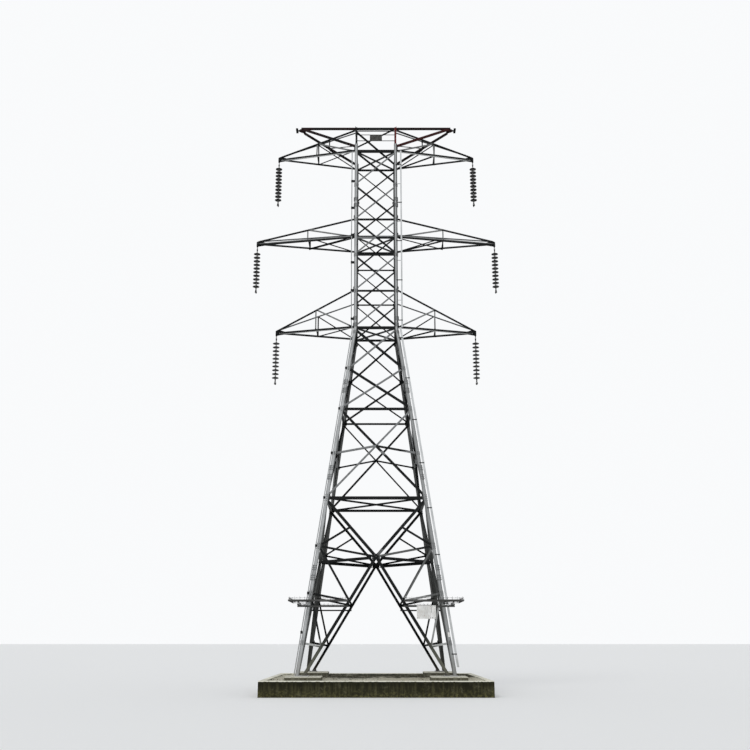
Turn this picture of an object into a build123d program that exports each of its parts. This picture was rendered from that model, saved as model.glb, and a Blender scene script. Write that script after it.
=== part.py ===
import os
from math import atan, atan2, cos, degrees, radians, sin, sqrt

from build123d import *

os.makedirs("parts", exist_ok=True)

# A double-circuit lattice pylon on a raised square plinth.
# Millimetres, +Z up, origin at the middle of the plinth's underside.
# X runs along the crossarms, and the face at -Y is the front.

# Plinth
plinth_side = 7100
plinth_height = 480
curb_width = 180
fill_recess = 70
curb_chamfer = 12
pad_side = 1130
pad_rise = 90
pad_chamfer = 15
pad_inset = 60
foot_plate_overhang = 30
foot_plate_side = 430
foot_plate_thickness = 25

# Tower outline: the legs lean in up to the waist and stand upright above it
waist_level = 12580
waist_half = 805
leg_slope = 0.143
beam_level = 6270
neck_level = 9450
neck_panel_split = 0.49
body_panels = 5
panel_height = 1423
leg_top_rise = 300

# Bracing nodes on the lower side frames
diagonal_root_level = 50
crossing_level = 4300
leg_node_levels = (1580, 3120, 4650)
diagonal_node_levels = (1470, 2880)
upper_diagonal_node_level = 5280
strut_level = 7830

# Sections: width and thickness of each equal angle
lower_leg_width = 120
upper_leg_width = 115
leg_thickness = 14
main_width = 90
main_thickness = 8
web_width = 60
web_thickness = 6
middle_width = 75
middle_narrow_width = 55
body_width = 60
body_narrow_width = 45
body_thickness = 6
chord_width = 75
chord_thickness = 8
upper_chord_width = 52
upper_chord_thickness = 6
lacing_width = 45
lacing_thickness = 5
gusset_width = 260
gusset_height = 180
corner_gusset = 240
bar_drop = 60

# Crossarms: level of the lower chords, rise of the upper chords at the legs, reach and node
bottom_arm_reach = 3683
bottom_arm_node = 2190
middle_arm_reach = 4505
middle_arm_node = 2550
top_arm_reach = 3773
top_arm_node = 2270
tip_rise = 120
cleat_thickness = 10
cleat_width = 120
cleat_height = 160
chord_root_inset = 60
hanger_length = 380
hanger_nose = 60

# Peak and earth-wire arms
ridge_rise = 1385
ridge_gap = 230
ridge_seat_drop = 142
ridge_plate_height = 300
ridge_plate_width = 420
earth_arm_reach = 2930
earth_arm_root_rise = 205
earth_tip_half = 120
earth_tip_lap = 30
earth_tip_length = 160
earth_cleat_height = 80
earth_clamp_reach = 3100
earth_clamp_length = 300
earth_clamp_width = 80
earth_clamp_height = 90
earth_clamp_chamfer = 30
roof_bar_rises = (575, 925)
roof_bar_width = 40
roof_bar_thickness = 5

# Insulator strings
pin_radius = 10
pin_clearance = 1
pin_drop = 60
hanger_thickness = 16
hanger_eye_radius = 35
cheek_gap = 5
cheek_thickness = 10
cheek_width = 40
cheek_sides = 8
pin_head = 8
shackle_drop = 75
shackle_bridge = 22
link_radius = 16
link_sides = 4
disc_count = 10
disc_pitch = 146
disc_radius = 127
disc_sides = 10
disc_height = 48
disc_shoulder_radius = 52
cap_radius = 42
cap_height = 50
cap_sides = 6
first_disc_drop = 290
clamp_drop = 1844
clamp_length = 200
clamp_width = 44
clamp_depth = 36
clamp_lip = 14
yoke_rise = 60
yoke_width = 30
yoke_thickness = 12
conductor_radius = 11

# Climbing guards
guard_level = 2847
guard_reach = 580
guard_bar = 50
guard_thickness = 5
guard_rail_drop = 167
guard_rail_overhang = 300
guard_rail_height = 50

# Climbing rail
lower_rail_gap = 54
upper_rail_gap = 118
rail_width = 50
rail_thickness = 8
rail_start_rise = 250
rail_bracket_pitch = 780
lower_bracket_start = 390
upper_bracket_start = 270
rail_bracket_depth = 40
rail_bracket_thickness = 6

# Plates
warning_plate_width = 460
warning_plate_height = 420
warning_plate_left = 1300
side_plate_width = 140
side_plate_gap = 10
number_plate_width = 470
number_plate_height = 400
plate_thickness = 3

# Fits
seat = 0.3
trim_gap = 3

side_names = ("front", "right", "rear", "left")
corner_signs = {
    "front_left": (-1, -1),
    "front_right": (1, -1),
    "rear_right": (1, 1),
    "rear_left": (-1, 1),
}
taper = atan(leg_slope)
fill_top = plinth_height - fill_recess
pad_top = plinth_height + pad_rise
foot_level = pad_top + foot_plate_thickness
top_level = waist_level + body_panels * panel_height
middle_arm_level = waist_level + 2.5 * panel_height
ridge_level = top_level + ridge_rise
lean = sqrt(1 + 2 * leg_slope**2)


def half_width(level):
    """Distance from the tower's axis to its side faces at a level."""
    return waist_half + leg_slope * max(0, waist_level - level)


def side_plane(index, slope):
    """Outer face of one side: x across, y up the face from the waist, z outward."""
    turn = radians(90 * index)
    outward = Vector(sin(turn), -cos(turn), 0)
    tilt = atan(slope)
    return Plane(
        origin=outward * waist_half + Vector(0, 0, waist_level),
        x_dir=(cos(turn), sin(turn), 0),
        z_dir=outward * cos(tilt) + Vector(0, 0, sin(tilt)),
    )


def across_the_middle(bars):
    """Copies of the bars across the middle of the face."""
    return [((-a[0], a[1]), (-b[0], b[1])) for a, b in bars]


def mirrored(bars):
    """The bars and their copies across the middle of the face."""
    return bars + across_the_middle(bars)


def draw_bars(bars, slope, across, sideways=0):
    """Strips along bars given by (distance from the middle, level), shifted to their lower edge."""
    rise = 1 / cos(atan(slope))
    for a, b in bars:
        start = Vector(a[0], (a[1] - waist_level) * rise)
        end = Vector(b[0], (b[1] - waist_level) * rise)
        run = end - start
        lower = Vector(run.Y, -run.X).normalized()
        if lower.Y > 0:
            lower = -lower
        middle = (start + end) * 0.5 + lower * sideways
        with Locations(middle):
            Rectangle(run.length, across, rotation=degrees(atan2(run.Y, run.X)))


def keep_inside(low, high, slope, inset):
    """Keep what lies between two levels and at least inset from the neighbouring faces."""
    rise = 1 / cos(atan(slope))
    bottom = (low - waist_level) * rise
    top = (high - waist_level) * rise
    x_low = waist_half + slope * (waist_level - low) - inset
    x_high = waist_half + slope * (waist_level - high) - inset
    Polygon(
        (-x_low, bottom), (x_low, bottom), (x_high, top), (-x_high, top),
        align=None, mode=Mode.INTERSECT,
    )


def side_angles(plane, bars, slope, low, high, width, thickness):
    """Angle bars on one side, bolted behind the leg's flange, their free flange turned inward."""
    seat_plane = plane.offset(-(leg_thickness * cos(atan(slope)) + seat))
    with BuildSketch(seat_plane) as flats:
        draw_bars(bars, slope, width)
        keep_inside(low, high, slope, leg_thickness + main_thickness + trim_gap)
    extrude(flats.sketch, amount=-thickness)
    with BuildSketch(seat_plane) as flanges:
        draw_bars(bars, slope, thickness, (width - thickness) / 2)
        keep_inside(low, high, slope, leg_thickness + main_width + 2 * trim_gap)
    extrude(flanges.sketch, amount=-width)


def leg_profile(signs, half, width, thickness):
    """Angle section with its heel on one corner of the tower."""
    sx, sy = signs
    outer = half
    inner = half - thickness
    toe = half - width
    Polygon(
        (sx * outer, sy * outer), (sx * toe, sy * outer), (sx * toe, sy * inner),
        (sx * inner, sy * inner), (sx * inner, sy * toe), (sx * outer, sy * toe),
        align=None,
    )


def angle_bar(start, end, inward, width, thickness):
    """Angle bar with its heel on the line from start to end, one flange inward and one up."""
    start = Vector(*start)
    end = Vector(*end)
    flange = Vector(*inward)
    if (end - start).cross(flange).Z < 0:
        start, end = end, start
    along = end - start
    direction = along.normalized()
    flange = flange - direction * flange.dot(direction)
    with BuildSketch(Plane(origin=start, x_dir=flange, z_dir=direction)) as section:
        Polygon(
            (0, 0), (width, 0), (width, thickness), (thickness, thickness),
            (thickness, width), (0, width),
            align=None,
        )
    extrude(section.sketch, amount=along.length)


# Plinth curb: a square ring cast round the fill
with BuildPart() as curb:
    with BuildSketch():
        Rectangle(plinth_side, plinth_side)
        Rectangle(plinth_side - 2 * curb_width, plinth_side - 2 * curb_width, mode=Mode.SUBTRACT)
    extrude(amount=plinth_height)
    chamfer(curb.faces().sort_by(Axis.Z)[-1].edges(), length=curb_chamfer)
curb.part.label = "plinth_curb"
export_step(curb.part, "parts/plinth_curb.step")

# Fill of the plinth, a little below the curb's rim
fill_side = plinth_side - 2 * (curb_width + seat)
with BuildPart() as fill:
    with BuildSketch():
        Rectangle(fill_side, fill_side)
    extrude(amount=fill_top)
fill.part.label = "plinth_fill"
export_step(fill.part, "parts/plinth_fill.step")

# Footing pads, centred under the legs and the roots of the diagonals
foot_half = half_width(foot_level)
plate_centre = foot_half - foot_plate_side / 2 + foot_plate_overhang
pad_centre = plate_centre - pad_inset
with BuildPart() as pads:
    with BuildSketch(Plane.XY.offset(fill_top)):
        with GridLocations(2 * pad_centre, 2 * pad_centre, 2, 2):
            Rectangle(pad_side, pad_side)
    extrude(amount=pad_top - fill_top)
    chamfer(pads.faces().group_by(Axis.Z)[-1].edges(), length=pad_chamfer)
pads.part.label = "footing_pads"
export_step(pads.part, "parts/footing_pads.step")

# Foot plates on the pads
with BuildPart() as foot_plates:
    with BuildSketch(Plane.XY.offset(pad_top)):
        with GridLocations(2 * plate_centre, 2 * plate_centre, 2, 2):
            Rectangle(foot_plate_side, foot_plate_side)
    extrude(amount=foot_plate_thickness)
foot_plates.part.label = "foot_plates"
export_step(foot_plates.part, "parts/foot_plates.step")

# Lower legs, leaning in on both sides
leg_foot_level = foot_level + seat
for corner, signs in corner_signs.items():
    sx, sy = signs
    with BuildPart() as lower_leg:
        with BuildSketch(Plane.XY.offset(leg_foot_level)):
            leg_profile(signs, half_width(leg_foot_level), lower_leg_width, leg_thickness)
        rise = waist_level - leg_foot_level
        extrude(amount=rise * lean, dir=(-sx * leg_slope, -sy * leg_slope, 1))
    lower_leg.part.label = f"lower_leg_{corner}"
    export_step(lower_leg.part, f"parts/lower_leg_{corner}.step")

# Upper legs, standing on the lower ones at the waist
for corner, signs in corner_signs.items():
    with BuildPart() as upper_leg:
        with BuildSketch(Plane.XY.offset(waist_level)):
            leg_profile(signs, waist_half, upper_leg_width, leg_thickness)
        extrude(amount=top_level - waist_level + leg_top_rise)
    upper_leg.part.label = f"upper_leg_{corner}"
    export_step(upper_leg.part, f"parts/upper_leg_{corner}.step")


def diagonal_at(level):
    """Point of the lower main diagonal at a level."""
    reach = half_width(diagonal_root_level)
    span = crossing_level - diagonal_root_level
    return (reach * (crossing_level - level) / span, level)


def leg_at(level):
    """Point on the middle of the leg's flange at a level."""
    return (half_width(level) - lower_leg_width / 2, level)


# Lower side frames: foot to beam, with the kinked cross and its redundant bars
beam_end = leg_at(beam_level - bar_drop)
crossing = (0, crossing_level)
low_leg_node, mid_leg_node, high_leg_node = [leg_at(level) for level in leg_node_levels]
low_node, mid_node = [diagonal_at(level) for level in diagonal_node_levels]
upper_share = (upper_diagonal_node_level - crossing_level) / (beam_end[1] - crossing_level)
upper_node = (beam_end[0] * upper_share, upper_diagonal_node_level)
lower_main_bars = mirrored([
    (diagonal_at(foot_level - main_width), crossing),
    (crossing, beam_end),
])
lower_main_bars.append(((-beam_end[0], beam_level), (beam_end[0], beam_level)))
lower_web_bars = mirrored([
    (high_leg_node, upper_node),
    (high_leg_node, crossing),
    (high_leg_node, mid_node),
    (mid_leg_node, mid_node),
    (mid_leg_node, low_node),
    (low_leg_node, low_node),
])
for index, name in enumerate(side_names):
    face = side_plane(index, leg_slope)
    top = beam_level + main_width / 2
    bottom = foot_level - main_width
    with BuildPart() as lower_side:
        side_angles(
            face, lower_main_bars, leg_slope, bottom, top,
            main_width, main_thickness,
        )
        side_angles(
            face, lower_web_bars, leg_slope, bottom, top,
            web_width, web_thickness,
        )
        with BuildSketch(face.offset(-(leg_thickness * cos(taper) + seat))):
            with Locations((0, (crossing_level - waist_level) / cos(taper))):
                Rectangle(gusset_width, gusset_height)
        extrude(amount=-main_thickness)
        split(bisect_by=Plane.XY.offset(foot_level + seat), keep=Keep.TOP)
    lower_side.part.label = f"lower_bracing_{name}"
    export_step(lower_side.part, f"parts/lower_bracing_{name}.step")

# Middle side frames: beam to waist
strut_end = leg_at(strut_level)
neck_top = waist_level - bar_drop
neck_split = neck_level + (waist_level - neck_level) * neck_panel_split
beam_foot = leg_at(beam_level + bar_drop)
neck_foot = leg_at(neck_level - bar_drop)
cross_share = beam_foot[0] / (beam_foot[0] + neck_foot[0])
middle_crossing = (0, beam_foot[1] + (neck_foot[1] - beam_foot[1]) * cross_share)
middle_wide_bars = [
    (leg_at(beam_level + bar_drop), (-neck_foot[0], neck_foot[1])),
    (leg_at(neck_level + bar_drop), (-leg_at(neck_split)[0], neck_split)),
    (leg_at(neck_split), (-leg_at(neck_top)[0], neck_top)),
]
middle_narrow_bars = across_the_middle(middle_wide_bars)
middle_wide_bars.append(((-neck_foot[0], neck_level), (neck_foot[0], neck_level)))
middle_web_bars = mirrored([(strut_end, middle_crossing)])
for index, name in enumerate(side_names):
    face = side_plane(index, leg_slope)
    bottom = beam_level + main_width / 2 + seat
    top = waist_level - main_width / 2 - seat
    with BuildPart() as middle_side:
        for bars, width in (
            (middle_wide_bars, middle_width), (middle_narrow_bars, middle_narrow_width),
        ):
            side_angles(face, bars, leg_slope, bottom, top, width, body_thickness)
        side_angles(
            face, middle_web_bars, leg_slope, bottom, top,
            web_width, web_thickness,
        )
    middle_side.part.label = f"middle_bracing_{name}"
    export_step(middle_side.part, f"parts/middle_bracing_{name}.step")

# Body side frames: five crossed panels between the waist and the top
body_end = waist_half - upper_leg_width / 2
body_wide_bars = []
for panel in range(body_panels):
    low = waist_level + panel * panel_height + bar_drop
    high = low + panel_height - 2 * bar_drop
    body_wide_bars.append(((body_end, low), (-body_end, high)))
body_narrow_bars = across_the_middle(body_wide_bars)
arm_levels = (waist_level, middle_arm_level, top_level)
body_main_bars = [((-body_end, level), (body_end, level)) for level in arm_levels]
tie_levels = [waist_level + count * panel_height for count in (1, 2, 3)]
body_tie_bars = [((-body_end, level), (body_end, level)) for level in tie_levels]
for index, name in enumerate(side_names):
    face = side_plane(index, 0)
    bottom = waist_level - main_width / 2
    top = top_level + main_width / 2
    with BuildPart() as body_side:
        for bars, width in (
            (body_wide_bars, body_width), (body_narrow_bars, body_narrow_width),
        ):
            side_angles(face, bars, 0, bottom, top, width, body_thickness)
        side_angles(
            face, body_main_bars, 0, bottom, top,
            main_width, main_thickness,
        )
        side_angles(
            face, body_tie_bars, 0, bottom, top,
            web_width, web_thickness,
        )
    body_side.part.label = f"body_bracing_{name}"
    export_step(body_side.part, f"parts/body_bracing_{name}.step")


def plan_cross(level, inner_half):
    """Cross of angles in plan with a corner gusset at each leg, laid on the horizontals."""
    height = level - main_width / 2 + main_thickness + seat
    with BuildSketch(Plane.XY.offset(height)) as flats:
        for turn in (45, 135):
            Rectangle(3 * inner_half, web_width, rotation=turn)
        for sx, sy in corner_signs.values():
            Polygon(
                (sx * inner_half, sy * inner_half),
                (sx * (inner_half - corner_gusset), sy * inner_half),
                (sx * inner_half, sy * (inner_half - corner_gusset)),
                align=None,
            )
        Rectangle(2 * inner_half, 2 * inner_half, mode=Mode.INTERSECT)
    extrude(flats.sketch, amount=web_thickness)
    with BuildSketch(Plane.XY.offset(height)) as flanges:
        for turn in (45, 135):
            Rectangle(3 * inner_half, web_thickness, rotation=turn)
        Rectangle(
            2 * (inner_half - main_width), 2 * (inner_half - main_width), mode=Mode.INTERSECT
        )
    extrude(flanges.sketch, amount=web_width)


# Plan cross at the beam
beam_seat = beam_level - main_width / 2 + main_thickness + web_thickness
inner_depth = leg_thickness * cos(taper) + main_thickness + 2 * seat
with BuildPart() as beam_plan:
    plan_cross(beam_level, half_width(beam_seat) - inner_depth / cos(taper) - seat)
beam_plan.part.label = "plan_bracing_beam"
export_step(beam_plan.part, "parts/plan_bracing_beam.step")

# Plan crosses at the three arm levels
body_inner = waist_half - leg_thickness - main_thickness - 2 * seat
with BuildPart() as arm_plans:
    for level in arm_levels:
        plan_cross(level, body_inner)
arm_plans.part.label = "plan_bracing_arms"
export_step(arm_plans.part, "parts/plan_bracing_arms.step")

# Diamond in plan that joins the crossings of the four lower side frames
diamond_outer = half_width(crossing_level) * sqrt(2) + main_width
diamond_flat = diamond_outer - 2 * main_width
diamond_flange = diamond_outer - 2 * main_thickness
with BuildPart() as diamond:
    with BuildSketch(Plane.XY.offset(crossing_level)):
        Rectangle(diamond_outer, diamond_outer, rotation=45)
        Rectangle(diamond_flat, diamond_flat, rotation=45, mode=Mode.SUBTRACT)
    extrude(amount=main_thickness)
    with BuildSketch(Plane.XY.offset(crossing_level)):
        Rectangle(diamond_outer, diamond_outer, rotation=45)
        Rectangle(diamond_flange, diamond_flange, rotation=45, mode=Mode.SUBTRACT)
    extrude(amount=-main_width)
    behind_bars = leg_thickness * cos(taper) + main_width + 2 * seat
    for index in range(4):
        split(bisect_by=side_plane(index, leg_slope).offset(-behind_bars), keep=Keep.BOTTOM)
diamond.part.label = "plan_bracing_diamond"
export_step(diamond.part, "parts/plan_bracing_diamond.step")

arm_face = waist_half + seat
root_side = waist_half - chord_root_inset


def cleat(level, side):
    """Plate that bolts a chord's root to the leg."""
    with BuildSketch(Plane.YZ.offset(arm_face)) as outline:
        with Locations((side * (waist_half - cleat_width / 2), level + cleat_height / 2)):
            Rectangle(cleat_width, cleat_height)
    extrude(outline.sketch, amount=cleat_thickness)


def hanger_plate(reach, level):
    """Upright plate at the arm's tip, with the eye of the insulator string."""
    eye = level - pin_drop
    with BuildSketch(Plane.XZ.offset(-hanger_thickness / 2)) as outline:
        Polygon(
            (reach - hanger_length, level), (reach - hanger_eye_radius, eye),
            (reach + hanger_eye_radius, eye), (reach + hanger_eye_radius, level + tip_rise),
            (reach - hanger_nose, level + tip_rise + upper_chord_width),
            (reach - hanger_length, level + chord_width),
            align=None,
        )
        with Locations((reach, eye)):
            Circle(hanger_eye_radius)
            Circle(pin_radius + pin_clearance, mode=Mode.SUBTRACT)
    extrude(outline.sketch, amount=hanger_thickness)


def web_frame(reach, node, level, upper_root_level, upper_half):
    """Uprights, strut and diagonals between the chords at one node of an arm."""
    share = (reach - node) / (reach - waist_half)
    node_side = root_side * share
    upper_level = level + tip_rise + (upper_root_level - level - tip_rise) * share
    upper_side = upper_half * share
    for side in (-1, 1):
        angle_bar(
            (node, side * node_side, level), (node, side * upper_side, upper_level),
            (0, -side, 0), lacing_width, lacing_thickness,
        )
        angle_bar(
            (waist_half, side * root_side, level), (node, side * upper_side, upper_level),
            (0, -side, 0), lacing_width, lacing_thickness,
        )
    angle_bar(
        (node, -node_side, level), (node, node_side, level),
        (-1, 0, 0), lacing_width, lacing_thickness,
    )
    angle_bar(
        (waist_half, root_side, level), (node, -node_side, level),
        (1, 0, 0), lacing_width, lacing_thickness,
    )


def chords(reach, level, upper_root_level, upper_half):
    """Two lower and two upper chords, drawn together at the tip."""
    tip_side = hanger_thickness / 2
    tip_x = reach - chord_width
    for side in (-1, 1):
        angle_bar(
            (waist_half, side * root_side, level), (tip_x, side * tip_side, level),
            (0, -side, 0), chord_width, chord_thickness,
        )
        angle_bar(
            (waist_half, side * upper_half, upper_root_level),
            (tip_x, side * tip_side, level + tip_rise),
            (0, -side, 0), upper_chord_width, upper_chord_thickness,
        )


def export_arm(arm_part, turn, name):
    """Write one arm, turned about the tower's axis."""
    with BuildPart() as arm:
        add(arm_part, rotation=(0, 0, turn))
    arm.part.label = name
    export_step(arm.part, f"parts/{name}.step")


# Bottom and middle crossarms
arm_table = (
    ("bottom", bottom_arm_reach, bottom_arm_node, waist_level, tie_levels[0]),
    ("middle", middle_arm_reach, middle_arm_node, middle_arm_level, tie_levels[2]),
)
for name, reach, node, level, upper_root_level in arm_table:
    with BuildPart() as crossarm:
        chords(reach, level, upper_root_level, root_side)
        web_frame(reach, node, level, upper_root_level, root_side)
        hanger_plate(reach, level)
        for side in (-1, 1):
            cleat(level, side)
            cleat(upper_root_level, side)
        split(bisect_by=Plane.YZ.offset(arm_face), keep=Keep.TOP)
    export_arm(crossarm.part, 0, f"{name}_crossarm_right")
    export_arm(crossarm.part, 180, f"{name}_crossarm_left")

# Top crossarm: its upper chords climb to the peak, just under the ridge bars
top_upper_root = ridge_level - ridge_seat_drop
with BuildPart() as top_crossarm:
    chords(top_arm_reach, top_level, top_upper_root, ridge_gap / 2)
    web_frame(top_arm_reach, top_arm_node, top_level, top_upper_root, ridge_gap / 2)
    hanger_plate(top_arm_reach, top_level)
    for side in (-1, 1):
        cleat(top_level, side)
    split(bisect_by=Plane.YZ.offset(arm_face), keep=Keep.TOP)
export_arm(top_crossarm.part, 0, "top_crossarm_right")
export_arm(top_crossarm.part, 180, "top_crossarm_left")

# Peak frame: leaning posts, a double ridge and one roof diagonal on each slope
post_foot_level = top_level + main_width / 2 + seat
post_seat = waist_half - leg_thickness - seat
post_side = waist_half - upper_leg_width / 2
ridge_side = ridge_gap / 2
roof_run = post_side - ridge_side
roof_rise = ridge_level - post_foot_level


def roof_side(level):
    """Distance of the sloping roof from the centre plane at a level."""
    share = (level - post_foot_level) / roof_rise
    return post_side - roof_run * share


def up_the_roof(level):
    """Distance up the roof's slope from the posts' feet to a level."""
    return (level - post_foot_level) * sqrt(1 + (roof_run / roof_rise) ** 2)


# Outer face of the front roof slope, flush with the posts' edges
roof_face = Plane(
    origin=(0, -post_side - web_width / 2, post_foot_level),
    x_dir=(1, 0, 0), z_dir=(0, -roof_rise, roof_run),
)

with BuildPart() as peak:
    with BuildSketch(roof_face):
        for end in (-1, 1):
            with Locations((end * (post_seat - web_width / 2), up_the_roof(ridge_level) / 2)):
                Rectangle(web_width, up_the_roof(ridge_level))
    extrude(amount=-web_thickness)
    mirror(about=Plane.XZ)
    diagonal_foot = post_foot_level + main_width
    for side, width, thickness, brace_width, brace_thickness in (
        (-1, chord_width, chord_thickness, lacing_width, lacing_thickness),
        (1, lacing_width, lacing_thickness, web_width, web_thickness),
    ):
        ridge_foot = ridge_level - width
        angle_bar(
            (-waist_half, side * ridge_side, ridge_foot),
            (waist_half, side * ridge_side, ridge_foot),
            (0, -side, 0), width, thickness,
        )
        angle_bar(
            (side * waist_half, side * roof_side(diagonal_foot), diagonal_foot),
            (-side * waist_half, side * ridge_side, ridge_level - brace_width),
            (0, -side, 0), brace_width, brace_thickness,
        )
    with BuildSketch(roof_face):
        for rise in roof_bar_rises:
            with Locations((0, up_the_roof(top_level + rise))):
                Rectangle(2 * waist_half, roof_bar_width)
    extrude(amount=-roof_bar_thickness)
    split(bisect_by=Plane.YZ.offset(-post_seat), keep=Keep.TOP)
    split(bisect_by=Plane.YZ.offset(post_seat), keep=Keep.BOTTOM)
    for end in (-1, 1):
        with BuildSketch(Plane.YZ.offset(end * post_seat)):
            for side in (-1, 1):
                Polygon(
                    (side * (post_side + web_width / 2), post_foot_level),
                    (side * (post_side - web_width / 2), post_foot_level),
                    (side * (ridge_side - web_width / 2), ridge_level),
                    (side * (ridge_side + web_width / 2), ridge_level),
                    align=None,
                )
            with Locations((0, ridge_level - ridge_plate_height / 2)):
                Rectangle(ridge_plate_width, ridge_plate_height)
        extrude(amount=-end * web_thickness)
        with BuildSketch(Plane.YZ.offset(end * post_seat)):
            with Locations((0, ridge_level - ridge_plate_height / 2)):
                Rectangle(ridge_plate_width, ridge_plate_height)
        extrude(amount=end * (waist_half - post_seat))
peak.part.label = "peak_frame"
export_step(peak.part, "parts/peak_frame.step")

# Earth-wire arms: the front ridge bar runs on, and two lower chords meet it at a tip plate
earth_root_level = top_level + earth_arm_root_rise
earth_chord_level = ridge_level - chord_width
with BuildPart() as earth_arm:
    angle_bar(
        (waist_half, -ridge_side, earth_chord_level),
        (earth_arm_reach, -ridge_side, earth_chord_level),
        (0, 1, 0), chord_width, chord_thickness,
    )
    for side in (-1, 1):
        angle_bar(
            (waist_half, side * root_side, earth_root_level),
            (earth_arm_reach, side * earth_tip_half, earth_chord_level),
            (0, -side, 0), chord_width, chord_thickness,
        )
        with BuildSketch(Plane.YZ.offset(arm_face)):
            with Locations((side * (waist_half - cleat_width / 2), earth_root_level + web_width / 2)):
                Rectangle(cleat_width, earth_cleat_height)
        extrude(amount=cleat_thickness)
    tip_edge = earth_tip_half + earth_tip_lap
    tip_root = earth_arm_reach - earth_tip_length
    tip_nose = earth_clamp_reach - earth_clamp_width / 2
    with BuildSketch(Plane.XY.offset(earth_chord_level)):
        Polygon(
            (tip_root, -tip_edge), (earth_arm_reach, -tip_edge), (tip_nose, -earth_tip_lap),
            (tip_nose, earth_tip_lap), (earth_arm_reach, tip_edge), (tip_root, tip_edge),
            align=None,
        )
    extrude(amount=-main_thickness)
    split(bisect_by=Plane.YZ.offset(arm_face), keep=Keep.TOP)
earth_arm.part.label = "earth_wire_arm_right"
export_step(earth_arm.part, "parts/earth_wire_arm_right.step")

with BuildPart() as left_earth_arm:
    mirror(earth_arm.part, about=Plane.YZ)
left_earth_arm.part.label = "earth_wire_arm_left"
export_step(left_earth_arm.part, "parts/earth_wire_arm_left.step")

# Earth-wire clamps at the tips of the earth-wire arms
with BuildPart() as earth_clamps:
    for end in (-1, 1):
        with BuildSketch(Plane.XZ.offset(-earth_clamp_length / 2)):
            with Locations((end * (earth_clamp_reach + seat), earth_chord_level)):
                Rectangle(earth_clamp_width, earth_clamp_height)
        extrude(amount=earth_clamp_length)
    chamfer(earth_clamps.edges().filter_by(Axis.X), length=earth_clamp_chamfer)
earth_clamps.part.label = "earth_wire_clamps"
export_step(earth_clamps.part, "parts/earth_wire_clamps.step")


# One insulator string, hung from the origin: shackle, ten cap-and-pin discs and suspension clamp
with BuildPart() as string:
    cheek_inner = hanger_thickness / 2 + cheek_gap
    cheek_outer = cheek_inner + cheek_thickness
    pin_end = cheek_outer + pin_head
    disc_run = (disc_radius - disc_shoulder_radius) * cos(radians(180 / disc_sides))
    disc_taper = degrees(atan(disc_run / disc_height))
    with BuildSketch(Plane.XZ.offset(-pin_end)):
        Circle(pin_radius)
    extrude(amount=2 * pin_end)
    for start in (-cheek_outer, cheek_inner):
        with BuildSketch(Plane.XZ.offset(start)):
            RegularPolygon(cheek_width / 2, cheek_sides)
            with Locations((0, -shackle_drop / 2)):
                Rectangle(cheek_width, shackle_drop)
        extrude(amount=cheek_thickness)
    with BuildSketch(Plane.XY.offset(-shackle_drop)):
        Rectangle(cheek_width, 2 * cheek_outer)
    extrude(amount=shackle_bridge)
    with BuildSketch(Plane.XY.offset(-shackle_drop)):
        RegularPolygon(link_radius, link_sides)
    extrude(amount=-(clamp_drop - yoke_rise - shackle_drop))
    for count in range(disc_count):
        rim_level = -first_disc_drop - count * disc_pitch - disc_height / 2
        with BuildSketch(Plane.XY.offset(rim_level)):
            RegularPolygon(disc_radius, disc_sides)
        extrude(amount=disc_height, taper=disc_taper)
        with BuildSketch(Plane.XY.offset(rim_level + disc_height)):
            RegularPolygon(cap_radius, cap_sides)
        extrude(amount=cap_height)
    with BuildSketch(Plane.XY.offset(yoke_rise - clamp_drop)):
        Rectangle(clamp_width + 2 * cheek_thickness, yoke_width)
    extrude(amount=yoke_thickness)
    for side in (-1, 1):
        with BuildSketch(Plane.XY.offset(yoke_rise - clamp_drop)):
            with Locations((side * (clamp_width + cheek_thickness) / 2, 0)):
                Rectangle(cheek_thickness, yoke_width)
        extrude(amount=-yoke_rise - clamp_depth / 2)
    with BuildSketch(Plane.YZ.offset(-clamp_width / 2)):
        Polygon(
            (-clamp_length / 2, -clamp_drop), (clamp_length / 2, -clamp_drop),
            (clamp_length / 2, -clamp_drop - clamp_lip),
            (clamp_length / 4, -clamp_drop - clamp_depth),
            (-clamp_length / 4, -clamp_drop - clamp_depth),
            (-clamp_length / 2, -clamp_drop - clamp_lip),
            align=None,
        )
    extrude(amount=clamp_width)
    with BuildSketch(Plane.XZ.offset(-clamp_length / 2)):
        with Locations((0, -clamp_drop)):
            Circle(conductor_radius)
    extrude(amount=clamp_length, mode=Mode.SUBTRACT)

# Insulator strings, one under each crossarm's tip
hang_points = {
    "top": (top_arm_reach, top_level - pin_drop),
    "middle": (middle_arm_reach, middle_arm_level - pin_drop),
    "bottom": (bottom_arm_reach, waist_level - pin_drop),
}
for place, (reach, level) in hang_points.items():
    for hand, sign in (("right", 1), ("left", -1)):
        with BuildPart() as hung_string:
            with Locations((sign * reach, 0, level)):
                add(string.part)
        hung_string.part.label = f"insulator_string_{place}_{hand}"
        export_step(hung_string.part, f"parts/insulator_string_{place}_{hand}.step")

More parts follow.
